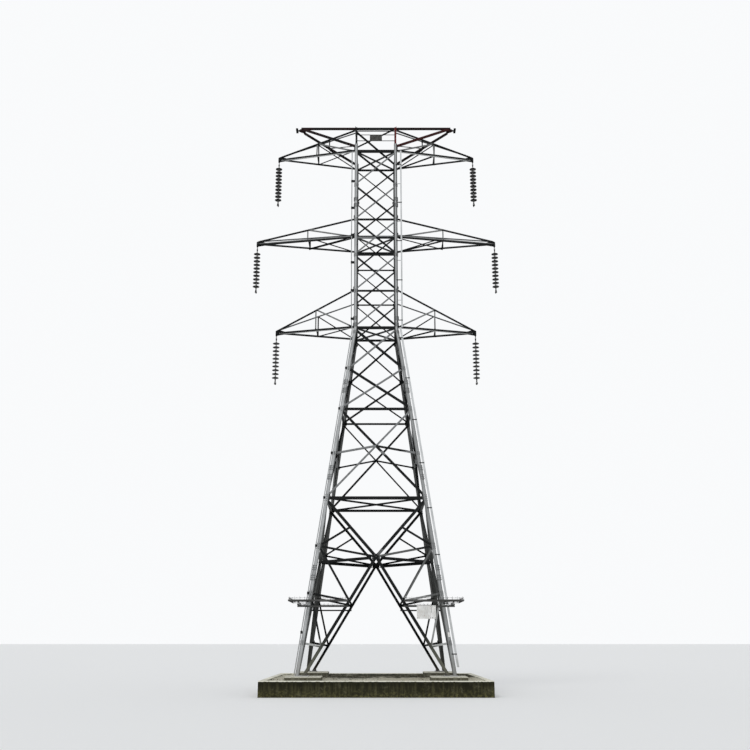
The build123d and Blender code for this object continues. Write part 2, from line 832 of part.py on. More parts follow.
# Climbing guards: an outrigged frame round each leg, and a second bar below it
guard_face = half_width(guard_level) + seat
guard_outer = half_width(guard_level) + guard_reach
guard_inner_end = diagonal_at(guard_level)[0]
lower_bar_level = guard_level - guard_rail_drop
lower_bar_face = half_width(lower_bar_level) + seat
lower_bar_end = half_width(lower_bar_level) + guard_rail_overhang
lower_bar_middle = (guard_inner_end + lower_bar_end) / 2
guard_middle = (guard_inner_end + guard_outer) / 2
guard_length = guard_outer - guard_inner_end
with BuildPart() as guards:
    for sx, sy in corner_signs.values():
        with BuildSketch(Plane.XY.offset(guard_level)):
            for near in (guard_face + guard_bar / 2, guard_outer - guard_bar / 2):
                with Locations((sx * guard_middle, sy * near)):
                    Rectangle(guard_length, guard_bar)
                with Locations((sx * near, sy * guard_middle)):
                    Rectangle(guard_bar, guard_length)
            for across in (guard_inner_end + guard_bar / 2, (guard_inner_end + guard_face) / 2):
                with Locations((sx * across, sy * (guard_face + guard_outer) / 2)):
                    Rectangle(guard_bar, guard_outer - guard_face)
                with Locations((sx * (guard_face + guard_outer) / 2, sy * across)):
                    Rectangle(guard_outer - guard_face, guard_bar)
        extrude(amount=guard_thickness)
        with BuildSketch(Plane.XY.offset(guard_level)):
            for edge in (guard_face + guard_thickness / 2, guard_outer - guard_thickness / 2):
                with Locations((sx * guard_middle, sy * edge)):
                    Rectangle(guard_length, guard_thickness)
                with Locations((sx * edge, sy * guard_middle)):
                    Rectangle(guard_thickness, guard_length)
        extrude(amount=guard_bar)
        with BuildSketch(Plane.XY.offset(lower_bar_level)):
            with Locations((sx * lower_bar_middle, sy * (lower_bar_face + guard_thickness / 2))):
                Rectangle(lower_bar_end - guard_inner_end, guard_thickness)
            with Locations((sx * (lower_bar_face + guard_thickness / 2), sy * lower_bar_middle)):
                Rectangle(guard_thickness, lower_bar_end - guard_inner_end)
        extrude(amount=guard_rail_height)
guards.part.label = "climbing_guards"
export_step(guards.part, "parts/climbing_guards.step")

# Climbing rail beside the front right leg, held off it by brackets
rail_foot = foot_level + rail_start_rise


def rail_profile(level, gap):
    """Flat bar beside the leg, its broad side to the front."""
    edge = half_width(level)
    with Locations((edge + gap + rail_width / 2, -edge + rail_thickness / 2)):
        Rectangle(rail_width, rail_thickness)


def rail_bracket(level, gap):
    """Arm that holds the rail off the leg."""
    edge = half_width(level)
    with BuildSketch(Plane.XY.offset(level)) as arm:
        with Locations((edge + (seat + gap + rail_width) / 2, -edge + rail_bracket_depth / 2)):
            Rectangle(gap + rail_width - seat, rail_bracket_depth)
    extrude(arm.sketch, amount=rail_bracket_thickness)


with BuildPart() as rail:
    with BuildSketch(Plane.XY.offset(rail_foot)):
        rail_profile(rail_foot, lower_rail_gap)
    extrude(amount=(waist_level - rail_foot) * lean, dir=(-leg_slope, leg_slope, 1))
    with BuildSketch(Plane.XY.offset(waist_level + seat)):
        rail_profile(waist_level, upper_rail_gap)
    extrude(amount=top_level - waist_level)
    for gap, low, high in (
        (lower_rail_gap, rail_foot + lower_bracket_start, waist_level),
        (upper_rail_gap, waist_level + upper_bracket_start, top_level),
    ):
        bracket_count = int((high - low) / rail_bracket_pitch) + 1
        for count in range(bracket_count):
            rail_bracket(low + count * rail_bracket_pitch, gap)
rail.part.label = "climbing_rail"
export_step(rail.part, "parts/climbing_rail.step")

# Bare sign plates on the front, under the right guard
guard_rail_lean = leg_slope * guard_rail_height
plate_stand_off = (guard_thickness + guard_rail_lean + 2 * seat) * cos(taper)
plate_face = side_plane(0, leg_slope).offset(plate_stand_off)
plate_top = (lower_bar_level + guard_rail_height - waist_level) / cos(taper)
side_plate_left = warning_plate_left + warning_plate_width + side_plate_gap
with BuildPart() as warning_plates:
    with BuildSketch(plate_face):
        for left, width in (
            (warning_plate_left, warning_plate_width), (side_plate_left, side_plate_width),
        ):
            with Locations((left + width / 2, plate_top - warning_plate_height / 2)):
                Rectangle(width, warning_plate_height)
    extrude(amount=plate_thickness)
warning_plates.part.label = "warning_plates"
export_step(warning_plates.part, "parts/warning_plates.step")

# Bare number plate on the two bars of the front roof slope
roof_plate_level = top_level + sum(roof_bar_rises) / 2
with BuildPart() as number_plate:
    with BuildSketch(roof_face.offset(seat)):
        with Locations((0, up_the_roof(roof_plate_level))):
            Rectangle(number_plate_width, number_plate_height)
    extrude(amount=plate_thickness)
number_plate.part.label = "number_plate"
export_step(number_plate.part, "parts/number_plate.step")
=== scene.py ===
"""Finish of a lattice pylon: weathered zinc angles, glazed insulators and an old concrete plinth."""

import math
import random

import bmesh
import bpy
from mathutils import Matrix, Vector, noise


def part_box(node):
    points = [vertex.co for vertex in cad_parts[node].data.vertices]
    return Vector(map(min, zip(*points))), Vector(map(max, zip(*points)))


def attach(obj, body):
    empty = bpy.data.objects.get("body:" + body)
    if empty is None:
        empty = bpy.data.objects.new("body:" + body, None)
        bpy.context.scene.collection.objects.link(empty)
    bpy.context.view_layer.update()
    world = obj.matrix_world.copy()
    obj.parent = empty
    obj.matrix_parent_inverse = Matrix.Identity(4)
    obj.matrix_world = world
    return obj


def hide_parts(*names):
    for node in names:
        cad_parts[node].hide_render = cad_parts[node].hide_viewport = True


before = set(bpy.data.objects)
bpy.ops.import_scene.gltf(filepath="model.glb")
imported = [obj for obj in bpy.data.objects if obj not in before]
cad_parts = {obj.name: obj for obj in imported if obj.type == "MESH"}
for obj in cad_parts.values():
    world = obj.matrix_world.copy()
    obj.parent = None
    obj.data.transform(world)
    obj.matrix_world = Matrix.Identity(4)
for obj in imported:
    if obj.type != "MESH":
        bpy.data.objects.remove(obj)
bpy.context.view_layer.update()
scene = bpy.context.scene

# Corners of pieces of the frame, in metres
upper_low, upper_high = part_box("upper_leg_front_left")
lower_low, lower_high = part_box("lower_leg_front_left")
curb_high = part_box("plinth_curb")[1]
fill_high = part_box("plinth_fill")[1]
pad_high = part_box("footing_pads")[1]
foot_plate_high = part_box("foot_plates")[1]

# Gap between two pieces of the frame, and between a face and what is laid on it here
seat = 0.0003
skin_gap = 0.0004

# Legs, and the levels of their bracing
waist_level = upper_low.z
waist_half = -upper_low.x
foot_level = lower_low.z
leg_slope = (-lower_low.x - waist_half) / (waist_level - foot_level)
upper_width = upper_high.x + waist_half
lower_width = lower_high.x + waist_half
leg_thickness = 0.014
body_panels = 5
panel_height = 1.423
top_level = waist_level + body_panels * panel_height
beam_level = 6.27
neck_level = 9.45
neck_split = neck_level + (waist_level - neck_level) * 0.49
diagonal_root_level = 0.05
crossing_level = 4.3
first_node_level = 1.58
second_node_level = 3.12
third_node_level = 4.65
diagonal_node_levels = (1.47, 2.88)
upper_node_level = 5.28
strut_level = 7.83
guard_level = 2.847

# Arms and peak
corner_signs = ((-1, -1), (-1, 1), (1, -1), (1, 1))
hands = ("right", "left")
places = ("top", "middle", "bottom")
arm_levels = {"bottom": waist_level, "middle": waist_level + 2.5 * panel_height, "top": top_level}
arm_node = {"bottom": 2.19, "middle": 2.55, "top": 2.27}
root_side = waist_half - 0.06
cleat_thickness = 0.010
hanger_eye_radius = 0.035
chord_end_inset = 0.075
tip_side = 0.008
tip_rise = 0.12
upper_chord_width = 0.052
ridge_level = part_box("peak_frame")[1].z
ridge_side = 0.115
ridge_seat_drop = 0.142
upper_roots = {
    "bottom": waist_level + panel_height,
    "middle": waist_level + 3 * panel_height,
    "top": ridge_level - ridge_seat_drop,
}
earth_arm_reach = 2.93
earth_arm_root_rise = 0.205
earth_tip_half = 0.12

# Climbing rail: its gap from the heel of the leg and the rise of its first bracket, below and above the waist
rail_width = 0.050
rail_start_rise = 0.250
lower_rail_gap = 0.054
upper_rail_gap = 0.118
lower_bracket_start = 0.390
upper_bracket_start = 0.270

# Insulator strings: drops under the hanger's pin
pin_drop = 0.060
disc_count = 10
disc_pitch = 0.146
first_disc_drop = 0.29
clamp_drop = 1.844

full_size = (1.0, 1.0, 1.0)
line_way = Vector((0, 1, 0))
down = Vector((0, 0, -1))


def half_width(level):
    """Distance from the tower's axis to its side faces at a level."""
    return waist_half + leg_slope * max(0.0, waist_level - level)


def leg_width(level):
    """Width of the leg's flanges at a level."""
    return lower_width if level < waist_level else upper_width


diagonal_slant = half_width(diagonal_root_level) / (crossing_level - diagonal_root_level)


def diagonal_across(level):
    """Distance from the middle to the lower main diagonal at a level."""
    return (crossing_level - level) * diagonal_slant


def side_frame(index, level):
    """Directions of one side at a level: across it, square to its face, and level outward."""
    turn = math.radians(90 * index)
    across = Vector((math.cos(turn), math.sin(turn), 0))
    outward = Vector((math.sin(turn), -math.cos(turn), 0))
    slope = leg_slope if level < waist_level else 0.0
    up = (Vector((0, 0, 1)) - outward * slope).normalized()
    return across, across.cross(up), outward


def side_point(index, across_by, level, lift=0.0):
    """Point on one side's outer face, lifted off the face by a little."""
    across, normal, outward = side_frame(index, level)
    return outward * half_width(level) + across * across_by + Vector((0, 0, level)) + normal * lift


def chord_tip(name):
    """Distance from the axis to the end of an arm's chords."""
    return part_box(f"{name}_crossarm_right")[1].x - hanger_eye_radius - chord_end_inset


def chord_ends(name):
    """Root and tip of the lower chord and of the upper chord of an arm, at the right and the rear."""
    level = arm_levels[name]
    upper_side = ridge_side if name == "top" else root_side
    low_tip = Vector((chord_tip(name), tip_side, level))
    low_root = Vector((waist_half, root_side, level))
    high_root = Vector((waist_half, upper_side, upper_roots[name]))
    return (low_root, low_tip), (high_root, low_tip + Vector((0, 0, tip_rise)))


# Helpers for shader nodes
def material(name):
    """New material with its node tree and its Principled shader."""
    made = bpy.data.materials.new(name)
    made.use_nodes = True
    return made, made.node_tree, made.node_tree.nodes["Principled BSDF"]


def add(tree, kind, **settings):
    """A node with some of its settings and input values set."""
    node = tree.nodes.new(kind)
    for key, value in settings.items():
        if hasattr(node, key):
            setattr(node, key, value)
        else:
            node.inputs[key].default_value = value
    return node


def maths(operation):
    """A calculation, as a function that takes sockets or numbers and gives the socket of its result."""
    def calculate(tree, *values, clamp=False):
        node = tree.nodes.new("ShaderNodeMath")
        node.operation = operation
        node.use_clamp = clamp
        for socket, value in zip(node.inputs, values):
            if isinstance(value, (int, float)):
                socket.default_value = value
            else:
                tree.links.new(value, socket)
        return node.outputs[0]
    return calculate


plus = maths("ADD")
minus = maths("SUBTRACT")
times = maths("MULTIPLY")
times_plus = maths("MULTIPLY_ADD")
divided = maths("DIVIDE")
larger = maths("MAXIMUM")
size_of = maths("ABSOLUTE")
above = maths("GREATER_THAN")
below = maths("LESS_THAN")


def ramp(tree, value, low, high):
    """Smooth step from 0 at low to 1 at high."""
    node = add(tree, "ShaderNodeMapRange", interpolation_type="SMOOTHSTEP")
    node.inputs["From Min"].default_value = low
    node.inputs["From Max"].default_value = high
    tree.links.new(value, node.inputs["Value"])
    return node.outputs["Result"]


def between(tree, value, rise, fall):
    """Smooth band: from 0 to 1 over the rise, and back to 0 over the fall."""
    return minus(tree, ramp(tree, value, *rise), ramp(tree, value, *fall))


def within(tree, value, centre, reach):
    """1 where a value is within reach of a centre, 0 elsewhere."""
    return below(tree, size_of(tree, minus(tree, value, centre)), reach)


def near_line(tree, across, level, start, end, reach):
    """1 within reach of the line through two (across, level) points, as far as the second, 0 elsewhere."""
    slant = (end[1] - start[1]) / (end[0] - start[0])
    line = times(tree, minus(tree, across, start[0]), slant)
    near = within(tree, level, plus(tree, line, start[1]), reach)
    return times(tree, near, below(tree, across, end[0]))


def blend_colour(tree, share, first, second):
    """Mix of two colours, each a socket or three numbers."""
    node = tree.nodes.new("ShaderNodeMix")
    node.data_type = "RGBA"
    if isinstance(share, (int, float)):
        node.inputs[0].default_value = share
    else:
        tree.links.new(share, node.inputs[0])
    # A colour mix takes its two colours at sockets 6 and 7, and gives its result at 2
    for index, value in ((6, first), (7, second)):
        if isinstance(value, tuple):
            node.inputs[index].default_value = (*value, 1.0)
        else:
            tree.links.new(value, node.inputs[index])
    return node.outputs[2]


def cover(tree, share, shades, colour):
    """Several shades, each covered by one colour by the same share."""
    return tuple(blend_colour(tree, share, shade, colour) for shade in shades)


def toned(colour, tone):
    """A colour made darker."""
    return tuple(tone * part for part in colour)


def coordinates(tree, kind="Object"):
    """X, Y and Z of the shaded point, or of its normal."""
    place = tree.nodes.new("ShaderNodeTexCoord")
    parts = tree.nodes.new("ShaderNodeSeparateXYZ")
    tree.links.new(place.outputs[kind], parts.inputs[0])
    return parts.outputs["X"], parts.outputs["Y"], parts.outputs["Z"]


def texture(tree, kind, **values):
    """A noise or a cell pattern on Object coordinates."""
    place = tree.nodes.new("ShaderNodeTexCoord")
    node = add(tree, kind, **values)
    tree.links.new(place.outputs["Object"], node.inputs["Vector"])
    return node


def finish_bump(tree, shader, height, strength, distance):
    """Feed a height to the shader's normal."""
    bump = add(tree, "ShaderNodeBump", Strength=strength, Distance=distance)
    tree.links.new(height, bump.inputs["Height"])
    tree.links.new(bump.outputs["Normal"], shader.inputs["Normal"])


def effect(name, inputs, outputs):
    """Shader node group with named inputs and outputs, and its two end nodes."""
    group = bpy.data.node_groups.new(name, "ShaderNodeTree")
    for label, value in inputs:
        socket = group.interface.new_socket(label, in_out="INPUT", socket_type="NodeSocketFloat")
        socket.default_value = value
    for label in outputs:
        group.interface.new_socket(label, in_out="OUTPUT", socket_type="NodeSocketFloat")
    return group, group.nodes.new("NodeGroupInput"), group.nodes.new("NodeGroupOutput")


def use_effect(tree, group, **values):
    """Place an effect in a material with its own values, and give its outputs."""
    node = tree.nodes.new("ShaderNodeGroup")
    node.node_tree = group
    for key, value in values.items():
        node.inputs[key.replace("_", " ")].default_value = value
    return node.outputs


# Effects: masks and patterns that materials place with their own values
def make_weathering():
    """Clouds, run-down streaks and fine grain of a surface that stands in the rain."""
    group, start, end = effect(
        "weathering",
        [("Cloud scale", 3.0), ("Streak scale", 14.0), ("Grain scale", 180.0)],
        ["Cloud", "Streak", "Grain"],
    )
    place = group.nodes.new("ShaderNodeTexCoord")
    stretch = add(group, "ShaderNodeMapping")
    stretch.inputs["Scale"].default_value = (1.0, 1.0, 0.07)
    group.links.new(place.outputs["Object"], stretch.inputs["Vector"])
    for label, source, detail, low, high in (
        ("Cloud", place.outputs["Object"], 5.0, 0.35, 0.68),
        ("Streak", stretch.outputs["Vector"], 4.0, 0.42, 0.66),
        ("Grain", place.outputs["Object"], 3.0, 0.2, 0.8),
    ):
        mottle = add(group, "ShaderNodeTexNoise", Detail=detail)
        group.links.new(source, mottle.inputs["Vector"])
        group.links.new(start.outputs[label + " scale"], mottle.inputs["Scale"])
        group.links.new(ramp(group, mottle.outputs["Fac"], low, high), end.inputs[label])
    return group


def make_face_lighting():
    """1 on faces that look away from the tower's axis, 0 on those that look inward; and 1 on top faces.
    Materials paint light and shade by these masks.
    """
    group, _, end = effect("face_lighting", [], ["Outward", "Upward"])
    place = group.nodes.new("ShaderNodeTexCoord")
    flatten = add(group, "ShaderNodeVectorMath", operation="MULTIPLY")
    flatten.inputs[1].default_value = (1.0, 1.0, 0.0)
    direction = add(group, "ShaderNodeVectorMath", operation="NORMALIZE")
    facing = add(group, "ShaderNodeVectorMath", operation="DOT_PRODUCT")
    group.links.new(place.outputs["Object"], flatten.inputs[0])
    group.links.new(flatten.outputs[0], direction.inputs[0])
    group.links.new(direction.outputs[0], facing.inputs[0])
    group.links.new(place.outputs["Normal"], facing.inputs[1])
    group.links.new(ramp(group, facing.outputs["Value"], -0.15, 0.45), end.inputs["Outward"])
    _, _, facing_up = coordinates(group, "Normal")
    group.links.new(ramp(group, facing_up, 0.5, 0.9), end.inputs["Upward"])
    return group


def make_ground_splash():
    """1 near the ground, fading to 0 above, with a ragged edge."""
    group, start, end = effect("ground_splash", [("Low", 0.5), ("High", 1.4)], ["Splash"])
    low = start.outputs["Low"]
    high = start.outputs["High"]
    _, _, level = coordinates(group)
    mottle = texture(group, "ShaderNodeTexNoise", Scale=9.0, Detail=4.0)
    level = plus(group, level, times(group, mottle.outputs["Fac"], 0.5))
    share = divided(group, minus(group, level, low), minus(group, high, low), clamp=True)
    group.links.new(minus(group, 1.0, share), end.inputs["Splash"])
    return group


def crossed_panels():
    """Low edge, crossing and high edge of each crossed panel above the beam."""
    panels = []
    gap = 0.05
    for low, high in ((beam_level, neck_level), (neck_level, neck_split), (neck_split, waist_level)):
        low_reach = half_width(low) - lower_width / 2
        high_reach = half_width(high) - lower_width / 2
        crossing = low + (high - low) * low_reach / (low_reach + high_reach)
        panels.append((low + gap, crossing, high - gap))
    for count in range(body_panels):
        low = waist_level + count * panel_height
        panels.append((low + gap, low + panel_height / 2, low + panel_height - gap))
    return panels


def make_panel_rise():
    """1 on bars that rise to the right across a crossed panel, 0 on all others."""
    group, start, end = effect("panel_rise", [("Across X", 1.0), ("Across Y", 0.0)], ["Rising"])
    x, y, level = coordinates(group)
    over_crossing = 0.0
    for low, crossing, high in crossed_panels():
        inside = times(group, above(group, level, low), below(group, level, high))
        height = times(group, minus(group, level, crossing), inside)
        over_crossing = plus(group, over_crossing, height)
    across_x = times(group, x, start.outputs["Across X"])
    across_y = times(group, y, start.outputs["Across Y"])
    product = times(group, plus(group, across_x, across_y), over_crossing)
    group.links.new(above(group, product, 0.0), end.inputs["Rising"])
    return group


def make_leg_section():
    """Place across a leg's flange: 0 at the heel and 1 at the toe."""
    group, _, end = effect("leg_section", [], ["Across"])
    x, y, level = coordinates(group)
    under_waist = larger(group, minus(group, waist_level, level), 0.0)
    half = times_plus(group, under_waist, leg_slope, waist_half)
    inset_x = minus(group, half, size_of(group, x))
    inset_y = minus(group, half, size_of(group, y))
    is_lower = above(group, under_waist, 0.0)
    width = times_plus(group, is_lower, lower_width - upper_width, upper_width)
    share = divided(group, larger(group, inset_x, inset_y), width)
    group.links.new(share, end.inputs["Across"])
    return group


weathering = make_weathering()
face_lighting = make_face_lighting()
ground_splash = make_ground_splash()
panel_rise = make_panel_rise()
leg_section = make_leg_section()


# Zinc with painted shade on its inward faces, and the tints that set one group of bars apart, several of them
# painted light and shade
def zinc(name, tones, metal=0.15, rough=0.5, tint=None, sheen=0.5):
    """Hot-dip zinc: bright where it faces outward, painted shade on the faces that look inward, with spangle,
    streaks and splash.
    """
    # The inner tone is painted shade for the faces that look inward
    bright, dull, inner = tones
    mud = (0.16, 0.13, 0.09)
    made, tree, shader = material(name)
    weather = use_effect(tree, weathering, Cloud_scale=2.2, Streak_scale=16.0, Grain_scale=220.0)
    outward = use_effect(tree, face_lighting)["Outward"]
    splash = use_effect(tree, ground_splash, Low=0.35, High=1.5)["Splash"]
    spangle = texture(tree, "ShaderNodeTexVoronoi", Scale=95.0)
    flakes = tree.nodes.new("ShaderNodeSeparateColor")
    tree.links.new(spangle.outputs["Color"], flakes.inputs[0])
    shade = blend_colour(tree, weather["Cloud"], dull, bright)
    shade = blend_colour(tree, times(tree, flakes.outputs[0], 0.22), shade, dull)
    inside = inner
    if tint is not None:
        shade, inside = tint(tree, shade, inner)
    # Painted shade: faces that look inward take the dark inner tone
    shade = blend_colour(tree, outward, inside, shade)
    shade = blend_colour(tree, times(tree, weather["Streak"], 0.25), shade, inner)
    shade = blend_colour(tree, times(tree, splash, 0.4), shade, mud)
    tree.links.new(shade, shader.inputs["Base Color"])
    roughness = times_plus(tree, weather["Cloud"], 0.18, rough)
    tree.links.new(roughness, shader.inputs["Roughness"])
    shader.inputs["Metallic"].default_value = metal
    shader.inputs["Specular IOR Level"].default_value = sheen
    finish_bump(tree, shader, plus(tree, weather["Grain"], flakes.outputs[1]), 0.25, 0.0008)
    return made


def shaded_zinc(name, tones, tint=None):
    """Dull zinc for the bars, whose dark tones are painted shade of bars seen against the bright sky."""
    return zinc(name, tones, metal=0.0, rough=0.8, tint=tint, sheen=0.12)


def leg_tint(tree, shade, inner):
    """Painted shade on the toe and heel outside, and a paler band between the dark heel and toe inside; the
    right legs' front faces are darker low down.
    """
    across = use_effect(tree, leg_section)["Across"]
    x, _, level = coordinates(tree)
    _, facing_rear, _ = coordinates(tree, "Normal")
    upper = ramp(tree, level, waist_level - 1.5, waist_level + 0.3)
    right = ramp(tree, x, 0.0, 0.2)
    heel_edge = times_plus(tree, times(tree, upper, right), 0.22, 0.14)
    heel = below(tree, across, heel_edge)
    toe = ramp(tree, across, 0.74, 0.84)
    # Painted shade along the heel and the toe of each flange
    edges = times(tree, larger(tree, toe, heel), times_plus(tree, upper, 0.24, 0.62))
    shade = blend_colour(tree, edges, shade, inner)
    front = ramp(tree, times(tree, facing_rear, -1.0), 0.5, 0.8)
    low_right = times(tree, times(tree, right, minus(tree, 1.0, upper)), front)
    shade = blend_colour(tree, times(tree, low_right, 0.45), shade, (0.12, 0.125, 0.12))
    band = between(tree, across, (0.40, 0.48), (0.76, 0.84))
    inside = blend_colour(tree, times(tree, band, 0.8), inner, (0.14, 0.145, 0.14))
    return shade, inside


def lit_rising_tint(across_x, across_y, pale):
    """Painted light on the bars that rise to the right, as seen from outside; the low struts are paler too.
    """
    def tint(tree, shade, inner):
        rising = use_effect(tree, panel_rise, Across_X=across_x, Across_Y=across_y)["Rising"]
        _, _, level = coordinates(tree)
        strut = within(tree, level, strut_level, 0.07)
        # Painted light: the rising bars take the lit colour
        return cover(tree, larger(tree, rising, strut), (shade, inner), pale)
    return tint


def primer_tint(tree, shade, inner):
    """Red-brown primer left showing towards the right of the peak."""
    x, _, _ = coordinates(tree)
    share = ramp(tree, x, waist_half - 0.10, waist_half - 0.07)
    return cover(tree, share, (shade, inner), (0.115, 0.020, 0.018))


def foot_tint(tree, shade, inner):
    """Painted light on the low bars: pale struts near the feet and bars at the right, and main diagonals that
    turn grey to the ground.
    """
    x, _, level = coordinates(tree)
    # Painted light: main diagonals paler towards the ground, where the sky is not behind them
    ground = minus(tree, 1.0, ramp(tree, level, 0.9, 2.0))
    shade = blend_colour(tree, ground, shade, (0.12, 0.125, 0.10))
    diagonal = times(tree, minus(tree, crossing_level, level), diagonal_slant)
    outside = ramp(tree, minus(tree, x, diagonal), 0.08, 0.12)
    beside_leg = ramp(tree, size_of(tree, x), 1.74, 1.78)
    pale = (0.42, 0.43, 0.42)
    under_first = (first_node_level - 0.12, first_node_level - 0.08)
    over_first = (first_node_level + 0.08, first_node_level + 0.12)
    under_second = (second_node_level - 0.10, second_node_level - 0.08)
    under_third = (third_node_level - 0.13, third_node_level - 0.09)
    # Painted light on the struts and on the bars outside the main diagonals
    for rise, fall, place, tone in (
        (under_second, under_third, outside, 0.30),
        (over_first, under_second, outside, 0.80),
        (under_first, over_first, beside_leg, 1.0),
    ):
        bar = times(tree, between(tree, level, rise, fall), place)
        shade = blend_colour(tree, bar, shade, toned(pale, tone))
        inner = blend_colour(tree, bar, inner, toned(pale, 0.7 * tone))
    return shade, inner


def arm_marks(tree, name, across, depth, level):
    """Masks on one level's arms: band over the lower chords, upper chords, undersides, and webs."""
    base = arm_levels[name]
    node = arm_node[name]
    bar_reach = 0.045
    chord_side = root_side - 0.037
    root = (waist_half, upper_roots[name] + upper_chord_width / 2)
    tip = (chord_tip(name), base + tip_rise + upper_chord_width / 2)
    head = root[1] + (tip[1] - root[1]) * (node - root[0]) / (tip[0] - root[0])
    band = between(tree, level, (base + 0.050, base + 0.060), (base + 0.078, base + 0.080))
    chord = near_line(tree, across, level, root, tip, bar_reach)
    soffit = near_line(tree, across, depth, (waist_half, chord_side), (tip[0], 0.0), bar_reach)
    soffit = times(tree, soffit, within(tree, level, base, 0.004))
    web = near_line(tree, across, level, (waist_half, base + 0.02), (node - 0.06, head), 0.06)
    web = times(tree, web, above(tree, level, base + 0.12))
    clear_of_chords = times(tree, above(tree, level, base + 0.10), below(tree, level, head - 0.05))
    upright = times(tree, within(tree, across, node, 0.05), clear_of_chords)
    return band, chord, soffit, plus(tree, web, upright)


def arm_tint(tree, shade, inner):
    """Painted light: grey bands on the far chords, paler webs, undersides and middle chords on the near side,
    where the light falls on them.
    """
    x, y, level = coordinates(tree)
    _, facing_rear, facing_up = coordinates(tree, "Normal")
    across = size_of(tree, x)
    depth = size_of(tree, y)
    far = ramp(tree, y, 0.02, 0.06)
    near = minus(tree, 1.0, far)
    bands, chords, soffits, webs = 0.0, 0.0, 0.0, 0.0
    for name in arm_levels:
        band, chord, soffit, web = arm_marks(tree, name, across, depth, level)
        bands = plus(tree, bands, band)
        chords = plus(tree, chords, chord)
        webs = plus(tree, webs, web)
        if name != "middle":
            soffits = plus(tree, soffits, soffit)
    near_webs = times(tree, webs, near, clamp=True)
    front = below(tree, facing_rear, -0.6)
    flank = within(tree, level, arm_levels["middle"] + 0.060, 0.017)
    flank = times(tree, times(tree, flank, front), near)
    flank = times(tree, flank, minus(tree, 1.0, near_webs), clamp=True)
    far_chords = times(tree, chords, far, clamp=True)
    # Painted light on the far chords, the near webs and the near middle chords' front
    shade = blend_colour(tree, far_chords, shade, (0.16, 0.165, 0.165))
    shade = blend_colour(tree, near_webs, shade, (0.24, 0.245, 0.24))
    shade = blend_colour(tree, flank, shade, (0.26, 0.265, 0.26))
    far_bands = times(tree, larger(tree, bands, chords, clamp=True), far)
    inner = blend_colour(tree, far_bands, inner, (0.13, 0.135, 0.135))
    inner = blend_colour(tree, near_webs, inner, (0.17, 0.175, 0.17))
    # Painted light on the near undersides of the top and bottom arms
    under = times(tree, soffits, below(tree, facing_up, -0.6))
    return cover(tree, times(tree, under, near, clamp=True), (shade, inner), (0.62, 0.63, 0.62))


def earth_arm_tint(tree, shade, inner):
    """Red-brown primer at the tips and on the near lower chord at the right, with a few patches."""
    x, y, level = coordinates(tree)
    tip = times(tree, ramp(tree, size_of(tree, x), 2.35, 2.6), 0.15)
    right = ramp(tree, x, 0.0, 0.1)
    far = ramp(tree, y, -0.04, 0.02)
    ridge = ramp(tree, level, ridge_level - 0.10, ridge_level - 0.085)
    near_lower = larger(tree, minus(tree, minus(tree, right, far), ridge), 0.0)
    near_lower = times(tree, near_lower, 0.4)
    weather = use_effect(tree, weathering, Cloud_scale=1.6, Streak_scale=12.0, Grain_scale=90.0)
    patches = times(tree, weather["Cloud"], 0.12)
    share = larger(tree, larger(tree, tip, near_lower), patches)
    return cover(tree, share, (shade, inner), (0.10, 0.016, 0.013))


# Tones of each zinc: bright, dull, and the painted shade of its inward faces. The near-black tones of the
# bracing, arms, peak and plates are painted shade of bars seen against the bright sky
leg_tones = ((0.50, 0.51, 0.51), (0.36, 0.37, 0.37), (0.012, 0.013, 0.012))
rail_tones = ((0.64, 0.65, 0.65), (0.50, 0.51, 0.51), (0.30, 0.305, 0.30))
strap_tones = ((0.40, 0.41, 0.41), (0.28, 0.285, 0.285), (0.20, 0.205, 0.205))
leg_bolt_tones = ((0.24, 0.245, 0.245), (0.16, 0.165, 0.165), (0.10, 0.105, 0.105))
bolt_tones = ((0.10, 0.10, 0.098), (0.06, 0.06, 0.058), (0.035, 0.035, 0.035))
brace_tones = ((0.020, 0.021, 0.021), (0.010, 0.011, 0.011), (0.006, 0.007, 0.007))
rear_tones = ((0.026, 0.027, 0.027), (0.014, 0.015, 0.015), (0.009, 0.010, 0.010))
side_tones = ((0.16, 0.165, 0.16), (0.09, 0.093, 0.09), (0.055, 0.057, 0.055))
panel_tones = ((0.018, 0.019, 0.019), (0.009, 0.010, 0.010), (0.006, 0.007, 0.007))
plan_tones = ((0.080, 0.082, 0.082), (0.055, 0.057, 0.057), (0.050, 0.052, 0.052))
gusset_tones = ((0.024, 0.025, 0.025), (0.014, 0.015, 0.015), (0.008, 0.009, 0.009))
earth_arm_tones = ((0.018, 0.018, 0.018), (0.010, 0.010, 0.010), (0.006, 0.006, 0.006))
guard_tones = ((0.12, 0.12, 0.115), (0.05, 0.05, 0.047), (0.022, 0.022, 0.021))
iron_tones = ((0.020, 0.020, 0.019), (0.012, 0.012, 0.011), (0.009, 0.009, 0.008))
cap_tones = ((0.42, 0.42, 0.41), (0.30, 0.30, 0.29), (0.26, 0.26, 0.25))
# Painted light on the bars that rise to the right
lit_bar = (0.23, 0.235, 0.235)

leg_zinc = zinc("leg_zinc", leg_tones, tint=leg_tint)
rail_zinc = zinc("rail_zinc", rail_tones)
strap_grey = zinc("strap_grey", strap_tones)
leg_bolt_zinc = zinc("leg_bolt_zinc", leg_bolt_tones)
bolt_zinc = zinc("bolt_zinc", bolt_tones, metal=0.4)
cap_zinc = zinc("cap_zinc", cap_tones, metal=0.2)
cap_iron = zinc("cap_iron", iron_tones, metal=0.0, rough=0.6, sheen=0.15)
guard_zinc = zinc("guard_zinc", guard_tones, metal=0.0, rough=0.7, sheen=0.2)
brace_zinc = shaded_zinc("brace_zinc", brace_tones)
foot_zinc = shaded_zinc("foot_zinc", brace_tones, foot_tint)
arm_zinc = shaded_zinc("arm_zinc", brace_tones, arm_tint)
peak_zinc = shaded_zinc("peak_zinc", brace_tones, primer_tint)
side_zinc = shaded_zinc("side_zinc", side_tones)
